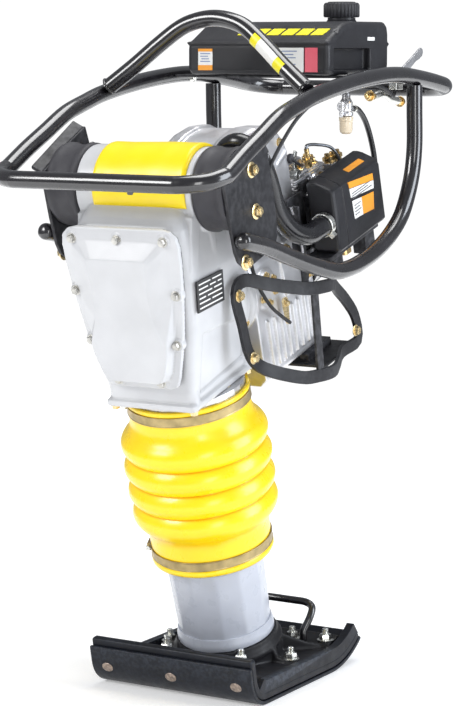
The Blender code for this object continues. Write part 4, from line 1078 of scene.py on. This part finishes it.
def make_throttle():
    x, y, z = joint_place("throttle_turn")
    bracket = Shape()
    bracket.prism([(y - 14, z - 20), (y + 12, z - 20), (y + 12, z + 2), (y + 6, z + 6), (y - 8, z + 6),
                   (y - 14, z)], 156.3, 163.6, "x")
    bracket.box((150.2, y - 19, 905.5), (163.6, y + 5, 925.5))
    piece("throttle_mount", bracket, WHITE_ZINC, "handle", ["throttle_bracket"],
          bevel=0.8)
    lever = Shape()
    blade = [(-7, -6), (-2, -8), (6, -8), (12, 0), (40, 15.5), (52, 19), (62, 24), (65, 29), (64, 34),
             (59, 37), (52, 34.5), (34, 25), (-2, 8), (-7, 5)]
    lever.prism([(y + a, z + b) for a, b in blade], x - 2, x + 1.5, "x")
    lever.bolt((x + 1.4, y, z), (1, 0, 0), across=8, height=3.0, washer=False)
    piece("throttle_hand_lever", lever, BRIGHT_ALUMINIUM, "throttle_lever",
          ["throttle_lever"], bevel=0.7)
    brass = Shape()
    for at in ((150, 154, 897), (150, 258, 886)):
        brass.bolt(at, (0, -1, 0), across=11, height=8, washer=True, stud=4)
        brass.turned([(0, -9), (5, -9), (6, -7), (6, 0), (0, 0)], facing(at, (0, -1, 0)), 24)
    piece("cable_fittings", brass, BRASS, "handle")
    grip = Shape().tube(smooth_path([(150, 166, 896), (151, 186, 899), (151, 206, 896), (150, 228, 890),
                                     (150, 252, 887)], 6), lambda share: 5.2 + 1.2 * math.sin(share * 9),
                        18)
    piece("cable_adjuster", grip, WHITE_ZINC, "handle")
    lower = [(141, 88, 800), (130, 92, 755), (112, 92, 716), (92, 92, 684), (86, 93, 656), (85, 105, 614),
             (85, 130, 572), (83, 160, 543), (82, 186, 521)]
    route = [(156, 226, 904.6), (156, 226, 901), (157, 222, 897), (162, 206, 897), (166, 180, 906),
             (167, 140, 913), (167, 90, 911), (167, 30, 905), (167, -30, 898), (164, -76, 882),
             (156, -112, 852)]
    route += [tuple(leg_point(*spot) / MM) for spot in lower]
    cable = linked("throttle_line", Shape().tube(smooth_path(route, 8), 2.8, 14).mesh("throttle_line"))
    put(cable, RUBBER, None, ["throttle_cable"])
    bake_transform(cable)
    at = in_leg(*joint_place("governor_turn"))
    arm = Shape(LEG)
    outline = [(at[1] + a, at[2] + b) for a, b in ((-7, 6), (-4, 9), (4, 9), (7, 6), (7, -4), (3.4, -32),
                                                   (0, -35), (-3.4, -32), (-7, -4))]
    arm.prism(outline, at[0] + 3, at[0] + 6.8, "x")
    arm.bolt((at[0] + 6.6, at[1], at[2]), (1, 0, 0), across=8, height=3.5)
    piece("governor_crank", arm, YELLOW_ZINC, "governor_arm", ["governor_arm"], bevel=0.6)


# ---------------------------------------------------------------- engine
def make_engine():
    """Air-cooled diesel: finned crankcase, fan shroud, head and injection gear."""
    half = 68.0
    block = Shape(LEG)
    outline = [(-half, 452), (-half + 12, 440), (half - 12, 440), (half, 452), (half, 628),
               (half - 10, 650), (-half + 10, 650), (-half, 628)]
    block.prism(outline, 116, 298, "y")
    engine = axis_at("y", 0, 0, SHAFT_Z)
    block.turned([(0, 112.6), (74, 112.6), (75, 114), (75, 124), (70, 130), (0, 130)], engine, 80)
    for index in range(8):
        y = 140 + 19 * index
        block.box((-half - 5.5, y, 462), (half + 5.5, y + 3.6, 540))
    for side in (1, -1):
        block.turned([(0, 60), (30, 60), (30, 70), (27, 73), (0, 73)],
                     axis_at("x", 0, 150, 590) @ Matrix.Diagonal((1, 1, side, 1)), 48)
        block.prism([(206, 556), (290, 556), (290, 640), (214, 640), (200, 620)], side * 60, side * 72.5,
                    "x")
    block.box((-50, 150, 640), (50, 270, 654.6))
    cuts = [Shape(LEG).turned(rectangle(0, 80, 14.5, 340), engine, 40)]
    made = cast("engine_casting", block, cuts, voxel=1.6, soften=3, keep=0.4)
    put(made, CAST_ALUMINIUM, "housing", ["engine_block"], smooth=60)

    shroud = Shape(LEG)
    side = [(130.6, 655.3), (289.6, 655.3), (289.6, 764), (284, 783), (268, 803), (244, 818.4),
            (210, 826.6), (170, 826.6), (146, 821.6), (134, 815), (130.6, 809)]
    centre = (205, 735)

    def shrink(outline, amount):
        return [(centre[0] + (a - centre[0]) * (1 - amount / 80),
                 centre[1] + (b - centre[1]) * (1 - amount / 90)) for a, b in outline]

    levels = [(-69.8, 7), (-66, 2.5), (-60, 0), (-44, 0), (-43, 4.5), (18, 4.5), (20, 0), (50, 0), (57, 2),
              (61.6, 8)]
    shroud.rings([[(x, a, b) for a, b in shrink(side, inset)] for x, inset in levels])
    shroud.turned([(0, 55), (44, 55), (42, 60), (40, 61.8), (34, 60.6), (0, 60.6)],
                  axis_at("x", 0, 212, 742), 64)
    for turn in range(5):
        place = move(0, 212, 742) @ Matrix.Rotation(math.radians(72 * turn + 20), 4, "X")
        shroud.prism([(38, -2), (72, -3), (72, 3), (38, 2)], 56, 63.5, "x", place)
    made = cast("fan_shroud", shroud, voxel=1.8, soften=5, keep=0.4)
    put(made, CAST_ALUMINIUM, "housing", ["cooling_shroud"], smooth=60)
    bolts = Shape(LEG)
    for y, z in ((146, 800), (262, 786), (142, 672), (278, 672)):
        bolts.bolt((60, y, z), (1, 0, 0), across=10, height=5)
    for y, z in ((214, 566), (282, 566), (282, 630), (220, 630)):
        bolts.bolt((72, y, z), (1, 0, 0), across=9, height=5)
        bolts.bolt((-72, y, z), (-1, 0, 0), across=9, height=5)
    for turn in range(6):
        angle = math.radians(30 + 60 * turn)
        bolts.bolt((73, 150 + 22 * math.cos(angle), 590 + 22 * math.sin(angle)), (1, 0, 0), across=7,
                   height=4)
    piece("engine_bolts", bolts, YELLOW_ZINC, "housing")

    head = Shape(LEG)
    for index in range(5):
        z = 681 + 7.0 * index
        head.prism(rounded_box(52, 291, 391.5, 9), z, z + 3.2, at=move(12, 0, 0))
    head.prism(rounded_box(46, 294, 386, 12), 680.8, 713.8, at=move(12, 0, 0))
    piece("head_fins", head, CAST_ALUMINIUM, "housing", ["cylinder_head"], bevel=0.7)
    rocker = Shape(LEG)
    place = move(5, 0, 0)
    rocker.rings([[(x + 5, y, z) for x, y in rounded_box(hx, ly, hy, 12)]
                  for z, hx, ly, hy in ((713, 37, 298, 374), (717, 37, 298, 374), (718, 34, 301, 371),
                                        (727, 33, 302, 370), (730, 28, 307, 365))])
    rocker.turned([(0, 728), (7, 728), (7, 734), (5, 736), (0, 736)], move(-8, 330, 0), 28)
    piece("rocker_box", rocker, BRIGHT_ALUMINIUM, "housing", bevel=0.8)

    parts = Shape(LEG)
    parts.bolt((54, 322, 713), (0, 0, 1), across=14, height=9, stud=6)
    parts.bolt((46, 380, 713), (0, 0, 1), across=12, height=7, stud=5)
    parts.turned([(0, 712), (6, 712), (6, 722), (9, 723), (9, 728), (4, 729), (4, 744), (0, 744)],
                 move(52, 358, 0), 28)
    parts.turned([(0, 62), (6, 62), (6, 70), (8.5, 71), (8.5, 77), (0, 77)], axis_at("x", 0, 372, 696), 6)
    parts.bolt((30, 388, 713), (0, 0, 1), across=11, height=6, stud=4)
    for y in (398, 414, 432):
        parts.turned([(0, -8), (6, -8), (6, -2), (8, -1), (8, 5), (4, 6), (4, 11), (0, 11)],
                     move(64, y, 712 - (y - 398) * 0.12), 6)
    piece("injector_fittings", parts, BRASS, "housing", smooth=30)
    silver = Shape(LEG)
    silver.turned([(0, 0), (11, 0), (11, 8), (8, 10), (8, 14), (0, 14)], axis_at("x", 62, 342, 700), 28)
    silver.turned(rectangle(0, -14, 7, 14), axis_at("y", 58, 318, 716), 28)
    silver.prism([(392, 690), (440, 684), (440, 702), (392, 708)], 56, 72, "x")
    silver.bolt((72, 410, 697), (1, 0, 0), across=10, height=5)
    piece("head_castings", silver, BRIGHT_ALUMINIUM, "housing", bevel=0.8)
    pipe = smooth_path([(76, 385, 596), (76, 385, 612), (80, 398, 640), (80, 412, 668), (76, 418, 700),
                        (68, 410, 728), (58, 384, 742), (52, 362, 748), (52, 358, 742)], 8)
    lines = Shape(LEG).tube(pipe, 2.6, 16)
    lines.tube(smooth_path([(-4, 330, 734), (0, 318, 744), (14, 306, 744), (34, 300, 736), (44, 299, 714)],
                           7), 3.4, 16)
    piece("injection_pipe", lines, DARK_STEEL, "housing")
    lever = Shape(LEG)
    lever.prism([(300, 716), (308, 716), (311, 744), (317, 752), (311, 757), (303, 748)], 56, 59.5, "x")
    lever.turned(rectangle(0, 52, 8, 64), axis_at("x", 0, 304, 720), 28)
    piece("decompression_lever", lever, WHITE_ZINC, "housing", bevel=0.6)
    link = Shape(LEG).tube(smooth_path([(64, 286, 752), (68, 296, 742), (66, 308, 734), (60, 326, 728)], 8),
                           2.4, 14)
    link.turned(rectangle(0, 60, 8, 66), axis_at("x", 0, 286, 752), 6)
    link.prism(rectangle(296, 690, 318, 708), 64, 72, "x")
    piece("head_link", link, SATIN_BLACK, "housing", bevel=0.6)

    pump = Shape(LEG)
    pump.prism(rounded_box(13, 374.5, 395.5, 4), 560.5, 586, at=move(76, 0, 0))
    pump.turned([(0, 585), (8, 585), (8, 592), (5, 594), (5, 600), (0, 600)], move(76, 385, 0), 6)
    piece("fuel_pump", pump, BRASS, "housing", ["injection_pump"], bevel=0.8)


def make_recoil():
    """Dished steel cover with louvres, the starter's grip and its rope."""
    place = axis_at("y", 0, 0, SHAFT_Z)
    cover = [(77, 300.2), (84, 300.2), (84, 304), (82.6, 306), (82, 352), (79, 360), (72, 365), (61, 368),
             (58, 371.6), (30, 371.6), (26, 368.5), (8, 368.5), (8, 366), (26, 366), (30, 368), (56, 368),
             (60, 364), (76, 356), (77, 350)]
    shell = Shape(LEG).turned(cover, place, 96)
    shell.turned(rectangle(0, 365.8, 9, 371.8), place, 28)
    piece("recoil_housing", shell, BLACK_PAINT, "housing", ["recoil_cover"], smooth=30)
    slats = Shape(LEG)
    for index in range(20):
        angle = 2 * math.pi * index / 20
        spot = place @ Matrix.Rotation(angle, 4, "Z")
        slats.prism([(36, 371.5), (54, 371.5), (54, 373.2), (50, 374), (40, 374), (36, 373.2)], -2.6, 2.6,
                    "y", spot)
    piece("recoil_louvres", slats, SATIN_BLACK, "housing", bevel=0.5)
    rim = shaft_circle(79.6, 358.5, (45, 135, 225, 315))
    bolt_set("recoil_bolts", YELLOW_ZINC, "housing", rim, (0, 1, 0), across=9, height=4.5)
    low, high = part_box("starter_grip")
    middle = in_leg(*[value / MM for value in (low + high) / 2])
    grip = Shape(LEG)
    rings = []
    for share, size in ((-1, 0.80), (-0.86, 0.97), (-0.4, 0.88), (0, 0.84), (0.4, 0.88), (0.86, 0.97),
                        (1, 0.80)):
        ring = []
        for step in range(28):
            angle = 2 * math.pi * step / 28
            ring.append((middle[0] + 7.9 * size * math.cos(angle), middle[1] + 23.6 * share,
                         middle[2] + 6.9 * size * math.sin(angle)))
        rings.append(ring)
    grip.rings(rings)
    rope = [(middle[0] + 10 + 6 * step, 349, 554.7) for step in range(7)]
    cord = linked("pull_rope", Shape(LEG).tube(rope[::-1], 2.0, 12).mesh("pull_rope"))
    put(cord, RUBBER, None, ["starter_rope"])
    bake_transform(cord)
    piece("pull_grip", grip, BLACK_PLASTIC, "starter_grip", ["starter_grip"], smooth=50)


def make_muffler():
    box = Shape(LEG)
    at = move(-106.3, 0, 0)
    levels = [(622.3, 4), (623.5, 1.2), (627, 0), (680, 0), (681, 1.6), (683, 1.6), (684, 0), (737, 0),
              (740.5, 1.2), (741.7, 4)]
    box.rings([[(x, y, z) for x, y in rounded_box(34 - inset, 150 + inset, 292 - inset, 18 - inset)]
               for z, inset in levels], at)
    box.turned([(10, 26), (14, 26), (14, 36.4), (15, 37), (15, 38), (10, 38)],
               axis_at("x", -106.3, 220, 640), 32)
    piece("silencer", box, MUFFLER_STEEL, "housing", ["muffler"], smooth=30)
    guard = Shape(LEG)
    for index in range(7):
        z = 640 + 14 * index
        guard.prism(rounded_box(2.6, z - 3.4, z + 3.4, 2.5, 3), 176, 266, "y", move(-142.6, 0, 0))
    for y in (180, 260):
        guard.box((-142.4, y, 634), (-139.5, y + 6, 730))
    piece("silencer_guard", guard, SATIN_BLACK, "housing", bevel=0.5)


def make_air_cleaner():
    """Air cleaner: chamfered box with a lid seam, its bracket, and the hose into its side."""
    section = [(92.3, 611), (96, 605.6), (136, 605.6), (140, 610), (140, 699), (138, 705), (133, 709.5),
               (110, 718.5), (104, 720), (97, 719.6), (92.3, 715)]
    box = Shape(LEG)

    def shrink(inset):
        return [(x + inset * (1 if x < 116 else -1), z + inset * (1 if z < 672 else -1))
                for x, z in section]

    levels = [(268.4, 5), (270, 2), (274, 0), (296, 0), (297, 1.5), (299, 1.5), (300, 0), (424, 0),
              (428, 2), (429.6, 5)]
    box.rings([[(x, y, z) for x, z in shrink(inset)] for y, inset in levels])
    piece("air_box", box, BLACK_PLASTIC, "housing", ["air_cleaner_box"], bevel=1.4,
          segments=3)
    labels = ((LABEL_ORANGE, "air_label_a", [(320, 694), (400, 681), (400, 692), (319, 704)]),
              (LABEL_WHITE, "air_label_b", [(322, 678), (398, 668), (400, 680.4), (320, 693)]),
              (LABEL_WHITE, "air_label_c", [(326, 642), (354, 640), (355, 668), (324, 672)]),
              (LABEL_ORANGE, "air_label_d", [(354.6, 640), (391, 636), (396, 663), (355.6, 668)]))
    for look, name, corners in labels:
        strip = Shape(LEG).prism(corners, 139.0, 140.5, "x")
        piece(name, strip, look, "housing")
    bars = Shape(LEG)
    for y0, y1, z in ((326, 392, 674.5), (326, 380, 678.5), (326, 388, 682.5), (329, 350, 662),
                      (329, 346, 657), (329, 350, 652), (329, 344, 647)):
        bars.box((140.2, y0, z), (140.8, y1, z + 1.4))
    piece("air_label_bars", bars, finish("grey ink", (0.12, 0.12, 0.13), 0.4), "housing")
    slope = Vector((0.36, 0, 0.93))
    verts = []
    for lift in (-0.6, 0.5):
        for y, share in ((346, 0.2), (400, 0.2), (400, 0.62), (346, 0.62)):
            spot = Vector((133, 0, 709.5)).lerp(Vector((110, 0, 718.5)), share)
            verts.append((spot.x + slope.x * lift, y, spot.z + slope.z * lift))
    tag = Shape(LEG).skin(verts, sleeve())
    piece("air_label_e", tag, LABEL_ORANGE, "housing")

    bracket = Shape(LEG)
    bracket.box((68.6, 240, 604), (74, 296, 699))
    bracket.box((74, 240, 640), (91.4, 246, 690))
    bracket.box((74, 290, 604), (91.4, 296, 690))
    bracket.box((86.5, 252, 596.5), (129.5, 418, 604.4))
    bracket.box((112, 262, 572), (129.5, 292, 597))
    bracket.box((104, 372, 566), (128, 404, 597))
    bracket.prism([(258, 604), (290, 604), (270, 548), (252, 552)], 68.8, 74.5, "x")
    piece("air_box_bracket", bracket, SATIN_BLACK, "housing", ["air_cleaner_bracket"],
          bevel=1.2)
    route = [(46, 130.2, 796), (46, 121, 796), (49, 112, 804), (62, 103, 826), (86, 99, 840),
             (106, 101, 834), (118, 110, 812), (117, 126, 776), (114, 137, 742), (115, 146, 710),
             (119, 170, 678), (121, 206, 659), (122, 240, 656), (122, 254, 656), (122, 267.6, 656)]
    path = smooth_path(route, 8)

    def reach(share):
        widening = min(1.0, max(0.0, (share - 0.5) / 0.35))
        cuff = min(1.0, max(0.0, (share - 0.93) / 0.02))
        return 13.6 + 3.0 * widening + 0.9 * cuff

    piece("intake_pipe", Shape(LEG).tube(path, reach, 40), HOSE_RUBBER, "housing",
          ["intake_hose"])
    rings = Shape(LEG)
    rings.turned([(17.0, -6), (18.6, -6), (19.2, -5), (19.2, 5), (18.6, 6), (17.0, 6)],
                 facing((122, 258, 656), (0, 1, 0)), 48)
    rings.box((-4, 17, -4.5), (4, 25, 4.5), facing((122, 258, 656), (0, 1, 0), spin=2.4))
    rings.turned(rectangle(13.4, -4, 15.2, 4), facing((46, 124, 796), (0, 1, 0)), 48)
    piece("hose_clips", rings, WHITE_ZINC, "housing", bevel=0.4)
    strip = Shape(LEG)
    strip.prism([(236, 690), (246, 690), (262, 640), (262, 600), (252, 600), (252, 638)], 80, 84, "x")
    piece("air_box_stay", strip, BRIGHT_ALUMINIUM, "housing", bevel=0.5)


GUARD_LOOP = [(104, 4, 640), (104, 10, 590), (104, 18, 540), (110, 44, 506), (140, 92, 474),
              (150, 128, 462), (150, 176, 450), (128, 232, 440), (104, 290, 432), (104, 344, 430),
              (104, 344, 470), (104, 322, 506), (112, 284, 540), (136, 232, 570), (150, 190, 584),
              (150, 132, 602), (124, 72, 630), (104, 34, 650)]


def make_guard(name, side, node):
    """Flat bar bent into a loop beside the engine, with a strap and bolts."""
    knots = smooth_path(GUARD_LOOP, 4, closed=True)
    flat = [Vector((spot[1], spot[2])) for spot in knots]
    count = len(flat)
    width, thick = 20.0, 6.0
    rings = []
    for i, spot in enumerate(knots):
        along = (flat[(i + 1) % count] - flat[i - 1]).normalized()
        across = Vector((-along.y, along.x)) * width / 2
        ring = []
        for sign, depth in ((1, 0), (1, thick), (-1, thick), (-1, 0)):
            edge = flat[i] + sign * across
            ring.append((side * (spot[0] + depth), edge.x, edge.y))
        rings.append(ring)
    loop = Shape(LEG).rings(rings, closed=True)
    ends = sorted((side * 151.0, side * 155.6))
    loop.prism([(126, 458), (144, 454), (160, 592), (142, 596)], ends[0], ends[1], "x")
    piece(name, loop, SATIN_BLACK, "housing", [node], bevel=1.0)
    bolts = Shape(LEG)
    for index, (y, z) in enumerate(((8, 636), (22, 532))):
        bolts.bolt((side * 110, y, z), (side, 0, 0), across=12, height=6, spin=0.5 * index)
    bolts.bolt((side * 110, 334, 450), (side, 0, 0), across=12, height=6)
    piece(name + "_bolts", bolts, YELLOW_ZINC, "housing")


def make_skid():
    plate = Shape(LEG).prism(rounded_box(103.3, 236.2, 339.8, 6), 424.2, 428.8)
    for side in (1, -1):
        plate.box((side * 60 - 8, 250, 428.5), (side * 60 + 8, 326, 440))
    piece("skid_guard", plate, SATIN_BLACK, "housing", ["skid_plate"], bevel=0.8)


# ---------------------------------------------------------------- carried-over nodes
def dress_nodes():
    """Inner pieces keep their CAD shapes, with rounded edges and real finishes."""
    looks = {"guide_cylinder": STEEL, "spring_cylinder": STEEL, "cylinder_cap": STEEL, "piston_rod": STEEL,
             "piston_head": STEEL, "connecting_rod": DARK_STEEL, "crank_gear": STEEL, "gear_bearing": STEEL,
             "clutch_drum": STEEL, "engine_shaft": STEEL, "clutch_shoes": CAST_ALUMINIUM,
             "flywheel": CAST_ALUMINIUM, "starter_pulley": BLACK_PLASTIC}
    for name, node in frame["nodes"].items():
        if node.hide_render:
            continue
        node.data.materials.clear()
        node.data.materials.append(looks[name])
        weld = node.modifiers.new("join", "WELD")
        weld.merge_threshold = 1e-5
        change = node.modifiers.new("round", "BEVEL")
        change.width = 0.5 * MM
        change.segments = 2
        change.limit_method = "ANGLE"
        change.angle_limit = math.radians(40)


# ---------------------------------------------------------------- floor, light and camera
FLOOR_RADIUS = 3.0
FLOOR_SIDES = 96
FLOOR_DROP = 0.0004


def make_floor():
    """Round pale floor that glows a little more with distance, so that it meets the backdrop."""
    shape = bmesh.new()
    for step in range(FLOOR_SIDES):
        angle = 2 * math.pi * step / FLOOR_SIDES
        shape.verts.new((FLOOR_RADIUS * math.cos(angle), FLOOR_RADIUS * math.sin(angle), -FLOOR_DROP))
    shape.faces.new(shape.verts)
    mesh = bpy.data.meshes.new("floor")
    shape.to_mesh(mesh)
    shape.free()
    look = finish("pale floor", (0.86, 0.86, 0.86), 0.75, spread=0.01, patch=3, grain=200, depth=0.02,
                  Emission_Strength=1.0)
    tree = look.node_tree
    reach = tree.nodes.new("ShaderNodeVectorMath")
    reach.operation = "LENGTH"
    place = next(node for node in tree.nodes if node.bl_idname == "ShaderNodeTexCoord")
    tree.links.new(place.outputs["Object"], reach.inputs[0])
    glow = tree.nodes.new("ShaderNodeMapRange")
    near, far, near_glow, far_glow = 0.5, 2.0, 0.30, 0.85
    for socket, value in zip(glow.inputs[1:5], (near, far, near_glow, far_glow)):
        socket.default_value = value
    tree.links.new(reach.outputs["Value"], glow.inputs[0])
    tree.links.new(glow.outputs[0], tree.nodes["Principled BSDF"].inputs["Emission Color"])
    mesh.materials.append(look)
    linked("floor", mesh)


def add_light(name, at, size, power, colour, target=(0, 0, 0.5)):
    data = bpy.data.lights.new(name, "AREA")
    data.shape = "RECTANGLE"
    data.size, data.size_y = size
    data.energy = power
    data.color = colour
    made = linked(name, data)
    made.location = at
    made.rotation_euler = (Vector(target) - Vector(at)).to_track_quat("-Z", "Y").to_euler()


LIGHTS = (("key", (-1.6, -3.0, 2.3), (1.3, 1.3), 76, (1, 1, 1)),
          ("rim", (2.8, 0.6, 1.5), (1.4, 2.4), 80, (0.88, 0.93, 1.0)),
          ("fill", (2.6, -2.8, 1.0), (0.9, 1.8), 32, (1, 1, 1)),
          ("top", (0.1, 0.4, 3.2), (1.6, 1.6), 55, (1, 1, 1)))
CAMERA_PLACE = (1.8320, -3.0920, 0.9742)
CAMERA_AIM = (-0.0391, 0.0504, 0.4938)
CAMERA_LENS = 119.33
SENSOR_WIDTH = 36.0


def make_stage():
    scene = bpy.context.scene
    world = bpy.data.worlds.new("studio")
    world.use_nodes = True
    tree = world.node_tree
    room = tree.nodes["Background"]
    room.inputs["Color"].default_value = (0.90, 0.94, 1.0, 1.0)
    room.inputs["Strength"].default_value = 0.32
    backdrop = tree.nodes.new("ShaderNodeBackground")
    backdrop.inputs["Color"].default_value = (1.0, 1.0, 1.0, 1.0)
    backdrop.inputs["Strength"].default_value = 1.05
    pick = tree.nodes.new("ShaderNodeMixShader")
    seen = tree.nodes.new("ShaderNodeLightPath").outputs["Is Camera Ray"]
    tree.links.new(seen, pick.inputs[0])
    tree.links.new(room.outputs[0], pick.inputs[1])
    tree.links.new(backdrop.outputs[0], pick.inputs[2])
    tree.links.new(pick.outputs[0], tree.nodes["World Output"].inputs["Surface"])
    scene.world = world
    scene.view_settings.view_transform = "Standard"
    for light in LIGHTS:
        add_light(*light)
    camera = bpy.data.cameras.new("camera")
    camera.lens = CAMERA_LENS
    camera.sensor_width = SENSOR_WIDTH
    made = linked("camera", camera)
    made.location = CAMERA_PLACE
    aim = Vector(CAMERA_AIM) - made.location
    made.rotation_euler = aim.to_track_quat("-Z", "Y").to_euler()
    scene.camera = made


# ---------------------------------------------------------------- making
make_stage()
make_floor()
make_shoe()
make_shoe_casting()
make_bail()
make_leg()
make_band("lower_band", 223, 238, "foot", "lower_clamp")
make_band("upper_band", 461, 476, "housing", "upper_clamp")
make_bellows()
make_springs()
make_crankcase()
make_data_plate()
make_front_cover()
make_drum_cover()
make_mounts()
make_handle()
make_arch_sticker()
make_side_plates()
make_tank()
make_tank_labels()
make_fuel_line()
make_throttle()
make_engine()
make_recoil()
make_muffler()
make_air_cleaner()
make_guard("guard_bar_left", 1, "guard_left")
make_guard("guard_bar_right", -1, "guard_right")
make_skid()
dress_nodes()
